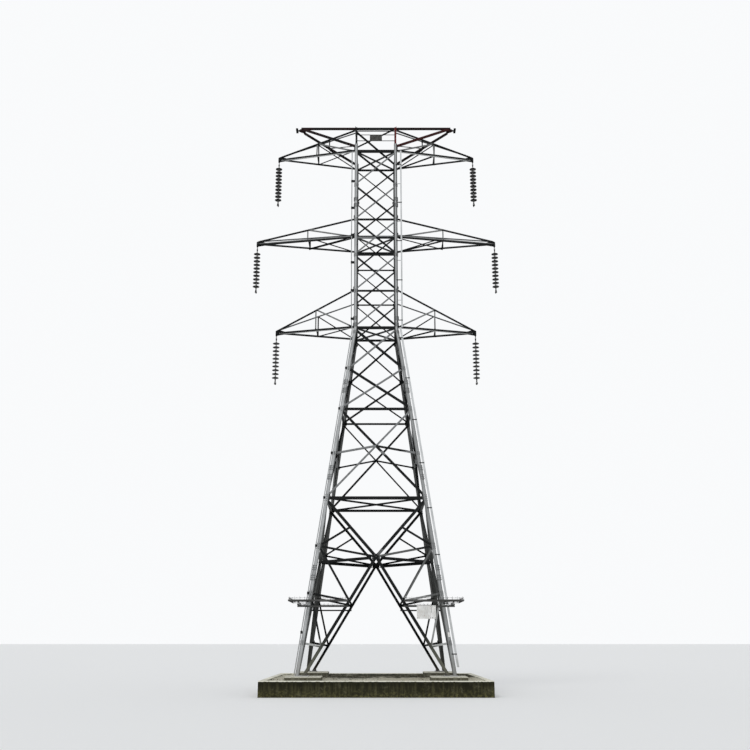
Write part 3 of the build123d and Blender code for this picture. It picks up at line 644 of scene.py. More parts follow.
rear_zinc = shaded_zinc("rear_zinc", rear_tones)
plan_zinc = shaded_zinc("plan_zinc", plan_tones)
gusset_zinc = shaded_zinc("gusset_zinc", gusset_tones)
earth_arm_zinc = shaded_zinc("earth_arm_zinc", earth_arm_tones, earth_arm_tint)
panel_zinc = {
    side: shaded_zinc(f"panel_zinc_{side}", panel_tones, lit_rising_tint(across_x, across_y, lit_bar))
    for side, across_x, across_y in (("front", 1.0, 0.0), ("right", 0.0, 1.0), ("left", 0.0, -1.0))
}


# Plinth, stones, glaze and enamel
def make_concrete(name, top, side, stain, pale, edge_level):
    """Old concrete: a pale top and upper edge, dark mossy sides with run-down streaks and pores; the pale top
    and dark sides are partly painted light and shade from above.
    """
    made, tree, shader = material(name)
    moss = (0.030, 0.029, 0.012)
    moss_tips = (0.15, 0.14, 0.055)
    weather = use_effect(tree, weathering, Cloud_scale=1.3, Streak_scale=17.0, Grain_scale=60.0)
    upward = use_effect(tree, face_lighting)["Upward"]
    splash = use_effect(tree, ground_splash, Low=0.10, High=0.5)["Splash"]
    pores = texture(tree, "ShaderNodeTexVoronoi", Scale=42.0)
    pits = ramp(tree, pores.outputs["Distance"], 0.02, 0.16)
    blotches = texture(tree, "ShaderNodeTexNoise", Scale=5.0, Detail=7.0, Roughness=0.75).outputs["Fac"]
    tufts = texture(tree, "ShaderNodeTexNoise", Scale=13.0, Detail=5.0, Roughness=0.8).outputs["Fac"]
    _, _, level = coordinates(tree)
    run_down = plus(tree, times(tree, weather["Streak"], 0.6), times(tree, blotches, 0.4))
    upright = blend_colour(tree, run_down, stain, side)
    upright = blend_colour(tree, times(tree, ramp(tree, blotches, 0.52, 0.72), 0.5), upright, pale)
    under_edge = ramp(tree, level, edge_level - 0.20, edge_level - 0.10)
    upright = blend_colour(tree, times(tree, under_edge, 0.5), upright, stain)
    growth = blend_colour(tree, ramp(tree, tufts, 0.46, 0.58), moss, moss_tips)
    upright = blend_colour(tree, splash, upright, growth)
    # Pale band along the upper edge of the sides
    ragged_level = times_plus(tree, weather["Streak"], -0.010, level)
    pale_edge = ramp(tree, ragged_level, edge_level - 0.032, edge_level - 0.022)
    upright = blend_colour(tree, pale_edge, upright, top)
    level_top = blend_colour(tree, weather["Cloud"], toned(top, 0.72), top)
    # Painted light and shade: top faces pale and sides dark, over the concrete's own stains and moss
    shade = blend_colour(tree, upward, upright, level_top)
    shade = blend_colour(tree, minus(tree, 1.0, pits), shade, stain)
    tree.links.new(shade, shader.inputs["Base Color"])
    shader.inputs["Roughness"].default_value = 0.9
    shader.inputs["Specular IOR Level"].default_value = 0.15
    finish_bump(tree, shader, plus(tree, weather["Grain"], pits), 0.5, 0.004)
    return made


def make_soil():
    """Damp soil, with pale sand washed over the front half and the left margin."""
    made, tree, shader = material("fill_soil")
    weather = use_effect(tree, weathering, Cloud_scale=1.1, Streak_scale=9.0, Grain_scale=70.0)
    clods = texture(tree, "ShaderNodeTexNoise", Scale=26.0, Detail=8.0, Roughness=0.7).outputs["Fac"]
    drifts = texture(tree, "ShaderNodeTexNoise", Scale=0.9, Detail=9.0, Roughness=0.8).outputs["Fac"]
    x, y, _ = coordinates(tree)
    soil = blend_colour(tree, weather["Cloud"], (0.040, 0.036, 0.016), (0.115, 0.105, 0.055))
    soil = blend_colour(tree, ramp(tree, clods, 0.42, 0.66), (0.020, 0.018, 0.008), soil)
    wander = times(tree, minus(tree, 0.5, drifts), 7.0)
    front = minus(tree, 1.0, ramp(tree, plus(tree, y, wander), -0.1, 0.7))
    left = minus(tree, 1.0, ramp(tree, plus(tree, x, wander), -2.9, -2.3))
    sandy = larger(tree, larger(tree, front, left), ramp(tree, drifts, 0.56, 0.64))
    sand = blend_colour(tree, weather["Cloud"], (0.68, 0.65, 0.53), (0.50, 0.47, 0.36))
    shade = blend_colour(tree, times(tree, sandy, 0.92), soil, sand)
    tree.links.new(shade, shader.inputs["Base Color"])
    shader.inputs["Roughness"].default_value = 0.95
    shader.inputs["Specular IOR Level"].default_value = 0.15
    finish_bump(tree, shader, plus(tree, clods, weather["Grain"]), 0.7, 0.02)
    return made


def make_stone():
    """Small grey and brown stones."""
    made, tree, shader = material("stone_grey")
    weather = use_effect(tree, weathering, Cloud_scale=6.0, Streak_scale=30.0, Grain_scale=90.0)
    shade = blend_colour(tree, weather["Cloud"], (0.10, 0.09, 0.05), (0.42, 0.40, 0.32))
    shade = blend_colour(tree, weather["Grain"], shade, (0.15, 0.13, 0.10))
    tree.links.new(shade, shader.inputs["Base Color"])
    shader.inputs["Roughness"].default_value = 0.9
    finish_bump(tree, shader, weather["Grain"], 0.6, 0.002)
    return made


def make_porcelain():
    """Dark glaze, paler on the upper faces with dust and painted highlight."""
    made, tree, shader = material("porcelain_glaze")
    weather = use_effect(tree, weathering, Cloud_scale=11.0, Streak_scale=30.0, Grain_scale=90.0)
    upward = use_effect(tree, face_lighting)["Upward"]
    shade = blend_colour(tree, weather["Cloud"], (0.005, 0.004, 0.004), (0.014, 0.011, 0.010))
    # Dust and painted highlight on the upper faces
    dust_and_highlight = times(tree, times(tree, upward, 0.25), weather["Streak"])
    shade = blend_colour(tree, dust_and_highlight, shade, (0.26, 0.24, 0.21))
    tree.links.new(shade, shader.inputs["Base Color"])
    roughness = times_plus(tree, weather["Cloud"], 0.2, 0.16)
    tree.links.new(roughness, shader.inputs["Roughness"])
    shader.inputs["Specular IOR Level"].default_value = 0.25
    shader.inputs["Coat Weight"].default_value = 0.12
    shader.inputs["Coat Roughness"].default_value = 0.12
    finish_bump(tree, shader, weather["Grain"], 0.08, 0.0006)
    return made


def make_enamel(name, body, worn, rust, sheen):
    """Enamelled sheet, chalky and chipped, with a few rust runs."""
    made, tree, shader = material(name)
    weather = use_effect(tree, weathering, Cloud_scale=9.0, Streak_scale=60.0, Grain_scale=240.0)
    chips = texture(tree, "ShaderNodeTexNoise", Scale=38.0, Detail=6.0).outputs["Fac"]
    shade = blend_colour(tree, weather["Cloud"], worn, body)
    shade = blend_colour(tree, times(tree, weather["Streak"], 0.18), shade, rust)
    shade = blend_colour(tree, ramp(tree, chips, 0.66, 0.72), shade, rust)
    tree.links.new(shade, shader.inputs["Base Color"])
    shader.inputs["Roughness"].default_value = 0.5
    shader.inputs["Specular IOR Level"].default_value = sheen
    finish_bump(tree, shader, weather["Cloud"], 0.1, 0.001)
    return made


curb_concrete = make_concrete(
    "curb_concrete", (0.86, 0.84, 0.71), (0.064, 0.060, 0.029), (0.007, 0.007, 0.003), (0.19, 0.18, 0.11),
    curb_high.z,
)
pad_concrete = make_concrete(
    "pad_concrete", (0.66, 0.64, 0.54), (0.36, 0.35, 0.27), (0.08, 0.075, 0.05), (0.46, 0.445, 0.36),
    pad_high.z,
)
fill_soil = make_soil()
stone_grey = make_stone()
porcelain = make_porcelain()
white_enamel = make_enamel("white_enamel", (0.90, 0.90, 0.88), (0.76, 0.76, 0.73), (0.34, 0.20, 0.13), 0.5)
dark_enamel = make_enamel("dark_enamel", (0.012, 0.012, 0.011), (0.07, 0.07, 0.065), (0.04, 0.03, 0.022), 0.1)


# Finish of each piece of the frame, found by the words that its name starts with
finishes = {
    "plinth_curb": curb_concrete,
    "footing_pads": pad_concrete,
    "plinth_fill": fill_soil,
    "warning_plates": white_enamel,
    "number_plate": dark_enamel,
    "insulator": porcelain,
    "lower_leg": leg_zinc,
    "upper_leg": leg_zinc,
    "climbing_rail": rail_zinc,
    "foot_plates": rail_zinc,
    "climbing_guards": guard_zinc,
    "lower_bracing_front": foot_zinc,
    "lower_bracing_left": side_zinc,
    "lower_bracing_right": side_zinc,
    "plan_bracing_arms": plan_zinc,
    "peak_frame": peak_zinc,
    "earth_wire_arm": earth_arm_zinc,
}
for place in places:
    finishes[f"{place}_crossarm"] = arm_zinc
for part in ("middle_bracing", "body_bracing"):
    for side in ("front", "right", "rear", "left"):
        finishes[f"{part}_{side}"] = panel_zinc.get(side, rear_zinc)

for node_name, node_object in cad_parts.items():
    starts = [words for words in finishes if node_name.startswith(words)]
    node_object.data.materials.clear()
    node_object.data.materials.append(finishes[starts[0]] if starts else brace_zinc)


# Helpers for pieces
def place_piece(name, mesh, finish, body, replaced=()):
    """Put a mesh in the scene as one finished piece."""
    mesh.materials.clear()
    mesh.materials.append(finish)
    piece = bpy.data.objects.new(name, mesh)
    scene.collection.objects.link(piece)
    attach(piece, body)
    if replaced:
        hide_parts(*replaced)


def finished_mesh(bm, name, smooth_angle=None):
    """Turn a bmesh into a mesh, with soft shading below an angle where one is given."""
    bmesh.ops.recalc_face_normals(bm, faces=bm.faces[:])
    if smooth_angle is not None:
        for face in bm.faces:
            face.smooth = True
        for edge in bm.edges:
            edge.smooth = edge.is_manifold and edge.calc_face_angle(math.pi) < smooth_angle
    mesh = bpy.data.meshes.new(name)
    bm.to_mesh(mesh)
    bm.free()
    return mesh


def tower_piece(name, bm, finish, smooth_angle=None):
    """Put a bmesh in the scene as one piece of the tower."""
    place_piece(name, finished_mesh(bm, name, smooth_angle), finish, "tower")


def square_axes(direction):
    """Two directions square to one another and to the given one."""
    direction = direction.normalized()
    helper = Vector((0, 0, 1)) if abs(direction.z) < 0.9 else Vector((1, 0, 0))
    first = direction.cross(helper).normalized()
    return first, direction.cross(first)


def join_rings(bm, rings):
    """Skin over a row of rings of points, closed at both ends."""
    for near, far in zip(rings, rings[1:]):
        for count in range(len(near)):
            following = (count + 1) % len(near)
            bm.faces.new((near[count], near[following], far[following], far[count]))
    bm.faces.new(list(reversed(rings[0])))
    bm.faces.new(rings[-1])


def add_slab(bm, corners, push):
    """Flat plate: a polygon and its copy moved by push."""
    near = [bm.verts.new(corner) for corner in corners]
    far = [bm.verts.new(corner + push) for corner in corners]
    join_rings(bm, [near, far])


def add_circle(bm, centre, first, second, radius, sides):
    """Points round a circle that two directions span."""
    turns = [2 * math.pi * count / sides for count in range(sides)]
    return [
        bm.verts.new(centre + (first * math.cos(turn) + second * math.sin(turn)) * radius) for turn in turns
    ]


def add_rod(bm, start, end, radius, sides=6, end_radius=None):
    """Straight round rod or cone between two points."""
    first, second = square_axes(end - start)
    if end_radius is None:
        end_radius = radius
    join_rings(bm, [
        add_circle(bm, start, first, second, radius, sides),
        add_circle(bm, end, first, second, end_radius, sides),
    ])


def add_bent_rod(bm, path, radius, sides=6):
    """Round rod along a path of points, mitred at its bends."""
    rings = []
    for index, point in enumerate(path):
        before = path[max(index - 1, 0)]
        after = path[min(index + 1, len(path) - 1)]
        first, second = square_axes(after - before)
        if rings:
            reference = rings[-1][0].co - path[index - 1]
            along = (after - before).normalized()
            first = (reference - along * reference.dot(along)).normalized()
            second = along.cross(first)
        rings.append(add_circle(bm, point, first, second, radius, sides))
    join_rings(bm, rings)


def add_turned(bm, profile, sides, centre=Vector((0, 0, 0))):
    """Turned shape from (radius, height) points, closed on the axis where the radius is nought."""
    rings = []
    for radius, height in profile:
        middle = centre + Vector((0, 0, height))
        if radius == 0:
            rings.append([bm.verts.new(middle)])
        else:
            rings.append(add_circle(bm, middle, Vector((1, 0, 0)), Vector((0, 1, 0)), radius, sides))
    for near, far in zip(rings, rings[1:]):
        for count in range(sides):
            following = (count + 1) % sides
            loop = [
                near[count % len(near)], near[following % len(near)],
                far[following % len(far)], far[count % len(far)],
            ]
            distinct = list(dict.fromkeys(loop))
            if len(distinct) > 2:
                bm.faces.new(distinct)


def arc_points(centre, first, second, sweep, steps):
    """Points along an arc that starts at first, seen from the centre, and turns towards second."""
    turns = [sweep * step / steps for step in range(steps + 1)]
    return [centre + first * math.cos(turn) + second * math.sin(turn) for turn in turns]


# Repeats with Geometry Nodes: a pattern set on points that carry their direction, turn and size
def make_repeater():
    """Node tree that sets a pattern on every point, turned to the point's direction."""
    tree = bpy.data.node_groups.new("repeat_on_points", "GeometryNodeTree")
    face = tree.interface
    face.new_socket("Points", in_out="INPUT", socket_type="NodeSocketGeometry")
    face.new_socket("Pattern", in_out="INPUT", socket_type="NodeSocketObject")
    face.new_socket("Finish", in_out="INPUT", socket_type="NodeSocketMaterial")
    face.new_socket("Result", in_out="OUTPUT", socket_type="NodeSocketGeometry")
    start = tree.nodes.new("NodeGroupInput")
    end = tree.nodes.new("NodeGroupOutput")

    def attribute(name, kind):
        node = tree.nodes.new("GeometryNodeInputNamedAttribute")
        node.data_type = kind
        node.inputs["Name"].default_value = name
        return node.outputs["Attribute"]

    pattern = tree.nodes.new("GeometryNodeObjectInfo")
    tree.links.new(start.outputs["Pattern"], pattern.inputs["Object"])
    aim = tree.nodes.new("FunctionNodeAlignRotationToVector")
    aim.axis = "Z"
    tree.links.new(attribute("direction", "FLOAT_VECTOR"), aim.inputs["Vector"])
    instances = tree.nodes.new("GeometryNodeInstanceOnPoints")
    tree.links.new(start.outputs["Points"], instances.inputs["Points"])
    tree.links.new(pattern.outputs["Geometry"], instances.inputs["Instance"])
    tree.links.new(aim.outputs["Rotation"], instances.inputs["Rotation"])
    tree.links.new(attribute("size", "FLOAT_VECTOR"), instances.inputs["Scale"])
    spin = tree.nodes.new("ShaderNodeCombineXYZ")
    tree.links.new(attribute("turn", "FLOAT"), spin.inputs["Z"])
    turned = tree.nodes.new("GeometryNodeRotateInstances")
    tree.links.new(instances.outputs["Instances"], turned.inputs["Instances"])
    tree.links.new(spin.outputs["Vector"], turned.inputs["Rotation"])
    real = tree.nodes.new("GeometryNodeRealizeInstances")
    tree.links.new(turned.outputs["Instances"], real.inputs["Geometry"])
    finish = tree.nodes.new("GeometryNodeSetMaterial")
    tree.links.new(real.outputs["Geometry"], finish.inputs["Geometry"])
    tree.links.new(start.outputs["Finish"], finish.inputs["Material"])
    tree.links.new(finish.outputs["Geometry"], end.inputs["Result"])
    return tree


repeater = make_repeater()


def repeat(name, pattern_mesh, spots, finish, body, replaced=()):
    """One joined piece from a pattern repeated at spots of (point, direction, turn, size)."""
    cloud = bpy.data.meshes.new(name + "_points")
    cloud.from_pydata([tuple(spot[0]) for spot in spots], [], [])
    for label, kind, column in (
        ("direction", "FLOAT_VECTOR", 1), ("turn", "FLOAT", 2), ("size", "FLOAT_VECTOR", 3),
    ):
        layer = cloud.attributes.new(label, kind, "POINT")
        if kind == "FLOAT":
            layer.data.foreach_set("value", [spot[column] for spot in spots])
        else:
            layer.data.foreach_set("vector", [value for spot in spots for value in spot[column]])
    carrier = bpy.data.objects.new(name + "_points", cloud)
    pattern = bpy.data.objects.new(name + "_pattern", pattern_mesh)
    for helper in (carrier, pattern):
        scene.collection.objects.link(helper)
    modifier = carrier.modifiers.new("repeat", "NODES")
    modifier.node_group = repeater
    sockets = {item.name: item.identifier for item in repeater.interface.items_tree}
    modifier[sockets["Pattern"]] = pattern
    modifier[sockets["Finish"]] = finish
    bpy.context.view_layer.update()
    shape = carrier.evaluated_get(bpy.context.evaluated_depsgraph_get())
    mesh = bpy.data.meshes.new_from_object(shape)
    mesh.name = name
    for helper in (carrier, pattern):
        bpy.data.objects.remove(helper)
    for label in ("direction", "turn", "size"):
        if label in mesh.attributes:
            mesh.attributes.remove(mesh.attributes[label])
    place_piece(name, mesh, finish, body, replaced)


def bolt_mesh():
    """Hexagon bolt head on a washer, standing on its point."""
    bm = bmesh.new()
    add_turned(bm, [(0, 0.0), (0.019, 0.0), (0.019, 0.003), (0, 0.003)], 8)
    add_turned(bm, [(0, 0.003), (0.0165, 0.003), (0.0165, 0.014), (0.013, 0.016), (0, 0.016)], 6)
    return finished_mesh(bm, "bolt")


def anchor_mesh():
    """Anchor stud with a washer and two nuts."""
    bm = bmesh.new()
    nut = [(0, 0.0), (0.033, 0.0), (0.035, 0.004), (0.033, 0.024), (0, 0.024)]
    add_turned(bm, [(0, 0.0), (0.042, 0.0), (0.042, 0.006), (0, 0.006)], 10)
    for level in (0.006, 0.032):
        add_turned(bm, nut, 6, Vector((0, 0, level)))
    add_turned(bm, [(0, 0.05), (0.016, 0.05), (0.016, 0.088), (0.012, 0.094), (0, 0.094)], 8)
    return finished_mesh(bm, "anchor")


def barb_mesh():
    """Four sharp wire ends twisted round a strand."""
    bm = bmesh.new()
    for count in range(4):
        turn = count * math.pi / 2
        way = Vector((math.cos(turn), math.sin(turn), 0.5 * (-1) ** count))
        add_rod(bm, way * -0.004, way * 0.03, 0.0035, 3, 0.0008)
    add_turned(bm, [(0, -0.009), (0.008, -0.008), (0.008, 0.008), (0, 0.009)], 5)
    return finished_mesh(bm, "barb")


body_bolts = []
leg_bolts = []


def add_bolt(spots, point, direction, size=1.0):
    """Note one bolt; its turn comes from its place, so every run gives the same."""
    turn = (point.x * 7.3 + point.y * 3.1 + point.z * 5.7) % 1.0
    spots.append((point, direction, turn, (size, size, size)))


# Node plates close beside the legs' flanges: level, half height and reach past the flange
node_plate_sizes = [
    (first_node_level, 0.07, 0.03), (second_node_level, 0.08, 0.03), (third_node_level, 0.10, 0.04),
    (beam_level, 0.12, 0.06), (strut_level, 0.06, 0.03), (neck_level, 0.10, 0.05),
    (neck_split, 0.07, 0.03), (waist_level - 0.17, 0.06, 0.04),
]
node_plate_sizes += [(waist_level + count * panel_height, 0.07, 0.04) for count in range(1, body_panels)]


def add_node_plate(bm, index, hand, level, half_height, reach):
    """Plate in front of the bracing with cut corners, and the bolts of its node."""
    thickness = 0.008
    gap = 0.002
    corner = 0.025
    base = -leg_thickness - seat + skin_gap
    _, normal, _ = side_frame(index, level)
    corners = []
    for share, past in ((-1, gap), (-1, corner), (-0.35, reach), (0.35, reach), (1, corner), (1, gap)):
        at = level + share * half_height
        corners.append(side_point(index, hand * (half_width(at) - leg_width(at) - past), at, base))
    add_slab(bm, corners, normal * thickness)
    for share in (-0.8, -0.27, 0.27, 0.8):
        at = level + share * half_height
        spot = side_point(index, hand * (half_width(at) - 0.5 * leg_width(at)), at)
        add_bolt(leg_bolts, spot, normal)
    for share in (-0.2, 0.2):
        at = level + share * half_height
        inset = leg_width(at) + 0.55 * reach
        add_bolt(body_bolts, side_point(index, hand * (half_width(at) - inset), at, base + thickness), normal)


def make_node_plates():
    """All node plates of the four sides."""
    bm = bmesh.new()
    for index in range(4):
        for hand in (-1, 1):
            for level, half_height, reach in node_plate_sizes:
                add_node_plate(bm, index, hand, level, half_height, reach)
    tower_piece("node_plates", bm, gusset_zinc)


def add_cover_plate(bm, index, hand, level, half_height):
    """Cover plate over a joint in a leg, with two rows of bolts."""
    thickness = 0.010
    edge = 0.012
    toe = leg_width(level) - edge
    _, normal, _ = side_frame(index, level)
    corners = []
    for rise, inset in ((-half_height, edge), (-half_height, toe), (half_height, toe), (half_height, edge)):
        at = level + rise
        corners.append(side_point(index, hand * (half_width(at) - inset), at, skin_gap))
    add_slab(bm, corners, normal * thickness)
    for share in (-0.85, -0.6, -0.35, 0.35, 0.6, 0.85):
        at = level + share * half_height
        for row in (0.3, 0.72):
            across_by = hand * (half_width(at) - row * leg_width(level))
            add_bolt(leg_bolts, side_point(index, across_by, at, thickness + skin_gap), normal, 1.1)


def make_cover_plates():
    """Cover plates over the joints in the four legs."""
    long_half = 0.26
    short_half = 0.20
    joints = [(level, long_half) for level in (3.78, 7.15, 10.3)]
    joints += [(waist_level + rise, short_half) for rise in (0.24, 3.5 * panel_height)]
    bm = bmesh.new()
    for index in range(4):
        for hand in (-1, 1):
            for level, half_height in joints:
                add_cover_plate(bm, index, hand, level, half_height)
    tower_piece("cover_plates", bm, leg_zinc)


def bolt_bracing():
    """Bolts where bars meet one another between the legs."""
    behind_leg = -(leg_thickness + seat)
    upper_share = (upper_node_level - crossing_level) / (beam_level - crossing_level)
    upper_across = (half_width(beam_level) - lower_width / 2) * upper_share
    for index in range(4):
        _, leaning, _ = side_frame(index, beam_level)
        _, upright, _ = side_frame(index, top_level)
        spots = [(across_by, crossing_level + rise, leaning) for across_by, rise in (
            (-0.09, -0.05), (-0.05, 0.05), (0.05, 0.05), (0.09, -0.05), (0.0, 0.0),
        )]
        for hand in (-1, 1):
            for level in diagonal_node_levels:
                for at in (level - 0.04, level + 0.04):
                    spots.append((hand * diagonal_across(at), at, leaning))
            spots.append((hand * upper_across, upper_node_level, leaning))
        for panel in range(body_panels):
            spots.append((0.0, waist_level + (panel + 0.5) * panel_height, upright))
        for across_by, level, normal in spots:
            add_bolt(body_bolts, side_point(index, across_by, level, behind_leg), normal)


def bolt_arms():
    """Bolts of the arms: cleats at the legs, the node frame, and the hanger plate at the tip."""
    cleat_face = waist_half + seat + cleat_thickness
    for name in places:
        low_chord, high_chord = chord_ends(name)
        reach = low_chord[1].x + chord_end_inset
        node_share = (arm_node[name] - waist_half) / (reach - waist_half)
        cleats = [arm_levels[name]] if name == "top" else [arm_levels[name], high_chord[0].z]
        for hand, side in corner_signs:
            for base in cleats:
                for rise, inset in ((0.10, 0.03), (0.10, 0.09), (0.14, 0.03), (0.14, 0.09)):
                    spot = Vector((hand * cleat_face, side * (waist_half - inset), base + rise))
                    add_bolt(body_bolts, spot, Vector((hand, 0, 0)), 1.1)
            for root, tip in (low_chord, high_chord):
                along = (tip - root).normalized()
                flank = Vector((-along.y * hand, along.x * side, 0)).normalized()
                node = root.lerp(tip, node_share)
                for start, slips, rise, size in (
                    (node, (-0.06, 0.0, 0.06), 0.035, 1.0), (tip, (-0.05, -0.13, -0.21), 0.038, 1.1),
                ):
                    for slip in slips:
                        spot = start + along * slip
                        spot = Vector((spot.x * hand, spot.y * side, spot.z + rise))
                        add_bolt(body_bolts, spot, flank, size)


def bolt_warning_plates():
    """Bolts at the corners of both warning plates."""
    low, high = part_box("warning_plates")
    normal = Vector((0, -1, leg_slope)).normalized()
    plate_left = 1.30
    plate_width = 0.46
    side_plate_left = plate_left + plate_width + 0.01
    side_plate_width = 0.14
    side_inset = 0.025
    end_inset = 0.03
    bolt_gap = 0.001
    for left, width in ((plate_left, plate_width), (side_plate_left, side_plate_width)):
        for across_by in (left + side_inset, left + width - side_inset):
            for level in (high.z - end_inset, low.z + end_inset):
                share = (level - low.z) / (high.z - low.z)
                depth = low.y + (high.y - low.y) * share - bolt_gap
                add_bolt(body_bolts, Vector((across_by, depth, level)), normal, 0.55)


def make_anchors():
    """Anchor studs on the foot plates, with none at the corner where the leg stands."""
    plate_side = 0.43
    near_edge = 0.07
    far_edge = plate_side - near_edge
    spots = []
    for hand, side in corner_signs:
        for inset_x, inset_y in ((near_edge, far_edge), (far_edge, near_edge), (far_edge, far_edge)):
            x = hand * (foot_plate_high.x - inset_x)
            y = side * (foot_plate_high.y - inset_y)
            spots.append((Vector((x, y, foot_plate_high.z)), -down, inset_x + inset_y, full_size))
    repeat("anchors", anchor_mesh(), spots, bolt_zinc, "tower")


def make_leg_tag():
    """Small blank tag on the front right leg."""
    low = 1.76
    high = 1.90
    toe = 0.070
    heel = 0.008
    gap = 0.0006
    thickness = 0.002
    bm = bmesh.new()
    corners = [
        side_point(0, half_width(level) - inset, level, gap)
        for inset, level in ((toe, low), (heel, low), (heel, high), (toe, high))
    ]
    _, normal, _ = side_frame(0, low)
    add_slab(bm, corners, normal * thickness)
    tower_piece("leg_tag", bm, white_enamel)


def make_guard_wire():
    """Barbed strands along the climbing guards, the highest of them with a row of spikes."""
    strand_rows = ((0.10, 0.035), (0.24, 0.045), (0.38, 0.045), (0.50, 0.035), (0.565, 0.10))
    spiked_rise = 0.10
    strand_radius = 0.0035
    stretches = 8
    sag_depth = 0.006
    barb_pitch = 0.12
    spike_pitch = 0.16
    spike_foot = 0.10
    spike_tip = 0.05
    guard_inner = half_width(guard_level) + seat
    guard_end = diagonal_across(guard_level)
    strands = bmesh.new()
    barbs = []

    def add_strand(hand, side, reach, rise, swapped):
        near = guard_inner + reach
        path = []
        for step in range(stretches + 1):
            along = guard_end + (near - guard_end) * step / stretches
            x, y = (along, near) if swapped else (near, along)
            sag = sag_depth * (step % 2)
            path.append(Vector((hand * x, side * y, guard_level + rise - sag)))
        add_bent_rod(strands, path, strand_radius, 4)
        length = near - guard_end
        way = (path[-1] - path[0]).normalized()
        for count in range(int(length / barb_pitch)):
            spot = path[0].lerp(path[-1], (count + 0.5) * barb_pitch / length)
            barbs.append((spot, way, count * 0.7 + reach, full_size))
        if rise == spiked_rise:
            for count in range(int(length / spike_pitch)):
                spot = path[0].lerp(path[-1], (count + 0.5) * spike_pitch / length)
                add_rod(strands, spot + down * spike_foot, spot - down * spike_tip, 0.006, 5, 0.002)

    for hand, side in corner_signs:
        for reach, rise in strand_rows:
            for swapped in (False, True):
                add_strand(hand, side, reach, rise, swapped)
    tower_piece("guard_strands", strands, guard_zinc, 1.0)
    repeat("guard_barbs", barb_mesh(), barbs, guard_zinc, "tower")


# Earthing strap down the outside of the front left leg: levels and gaps from the leg, from the top
strap_route = (
    (19.60, 0.085), (15.9, 0.085), (12.75, 0.07), (12.5, 0.025), (8.0, 0.02), (3.0, 0.02), (0.62, 0.02),
)
strap_width = 0.036
strap_inset = 0.005
strap_points = [
    Vector((-half_width(level) - gap, strap_inset - half_width(level), level)) for level, gap in strap_route
]


def make_earthing_strap():
    """Flat bar along the strap's points."""
    thickness = 0.004
    across = Vector((-strap_width, 0, 0))
    bm = bmesh.new()
    for near, far in zip(strap_points, strap_points[1:]):
        add_slab(bm, [near, near + across, far + across, far], line_way * -thickness)
    tower_piece("earthing_strap", bm, strap_grey)


def add_strap_clamp(bm, level):
    """Clamp from the leg to the strap's far edge."""
    depth = Vector((0, 0.03, 0))
    half_height = 0.045
    lap = 0.010
    for near, far in zip(strap_points, strap_points[1:]):
        if near.z >= level > far.z:
            spot = near.lerp(far, (near.z - level) / (near.z - far.z))
            root = Vector((-half_width(level) - seat, spot.y - lap, level - half_height))
            end = Vector((spot.x - strap_width - lap, root.y, root.z))
            add_slab(bm, [root, root + depth, end + depth, end], Vector((0, 0, 2 * half_height)))


def add_rail_clamps(bm, low, high, gap):
    """Clamps that hold one length of the climbing rail to its brackets."""
    half_height = 0.016
    thickness = 0.008
    hold = 0.055
    lap = 0.004
    pitch = 1.56
    level = low + lap
    while level < high - 0.05:
        edge = half_width(level)
        stops = (-hold, gap - lap, gap + rail_width + lap)
        for inner, outer in zip(stops, stops[1:]):
            corners = [
                Vector((edge + across_by, -edge - skin_gap, level + rise))
                for across_by, rise in (
                    (inner, -half_height), (outer, -half_height), (outer, half_height), (inner, half_height),
                )
            ]
            add_slab(bm, corners, line_way * -thickness)
        level += pitch


def make_clamps():
    """Dark clamps of the earthing strap and of the climbing rail."""
    levels = [1.9, second_node_level, third_node_level, beam_level, strut_level, neck_level, neck_split]
    first_upper = waist_level + 0.33
    upper_pitch = 1.1
    levels += [first_upper + upper_pitch * count for count in range(6)]
    bm = bmesh.new()
    for level in levels:
        add_strap_clamp(bm, level)
    first_lower = foot_level + rail_start_rise + lower_bracket_start
    add_rail_clamps(bm, first_lower, waist_level, lower_rail_gap)
    add_rail_clamps(bm, waist_level + upper_bracket_start, top_level, upper_rail_gap)
    tower_piece("clamps", bm, gusset_zinc)


def make_rail_face():
    """Pale strip on the face of the climbing rail, broader on its lower length."""
    thickness = 0.003
    bm = bmesh.new()
    for low, high, gap, width in (
        (foot_level + rail_start_rise + 0.010, waist_level, lower_rail_gap, 0.074),
        (waist_level, top_level, upper_rail_gap, 0.058),
    ):
        corners = []
        for level, hand in ((low, -1), (low, 1), (high, 1), (high, -1)):
            edge = half_width(level)
            across_by = edge + gap + rail_width / 2 + hand * width / 2
            corners.append(Vector((across_by, -edge - seat, level)))
        add_slab(bm, corners, line_way * -thickness)
    tower_piece("rail_face", bm, rail_zinc)


def make_peak_stays():
    """Flat bars that stiffen the rear roof diagonal and the rear lower chords of the earth-wire arms."""
    thickness = 0.006
    roof_bar_width = 0.030
    chord_bar_width = 0.034
    roof_foot_rise = 0.09
    roof_head_drop = 0.06
    tip_drop = 0.075
    post_side = waist_half - upper_width / 2
    post_foot_level = top_level + 0.0453
    lean = (post_side - ridge_side) / (ridge_level - post_foot_level)
    foot_side = post_side - lean * roof_foot_rise
    roof_foot = Vector((waist_half, foot_side + seat, post_foot_level + roof_foot_rise))
    roof_head = Vector((-waist_half, ridge_side + seat, ridge_level - roof_head_drop))
    bars = [(roof_foot.lerp(roof_head, 0.03), roof_foot.lerp(roof_head, 0.97), roof_bar_width)]
    for hand in (-1, 1):
        root = Vector((hand * waist_half, root_side + seat, top_level + earth_arm_root_rise))
        tip = Vector((hand * earth_arm_reach, earth_tip_half + seat, ridge_level - tip_drop))
        bars.append((root.lerp(tip, 0.02), root.lerp(tip, 0.96), chord_bar_width))
    bm = bmesh.new()
    for foot, head, width in bars:
        drop = down * width
        add_slab(bm, [foot, head, head + drop, foot + drop], line_way * thickness)
    tower_piece("peak_stays", bm, brace_zinc)


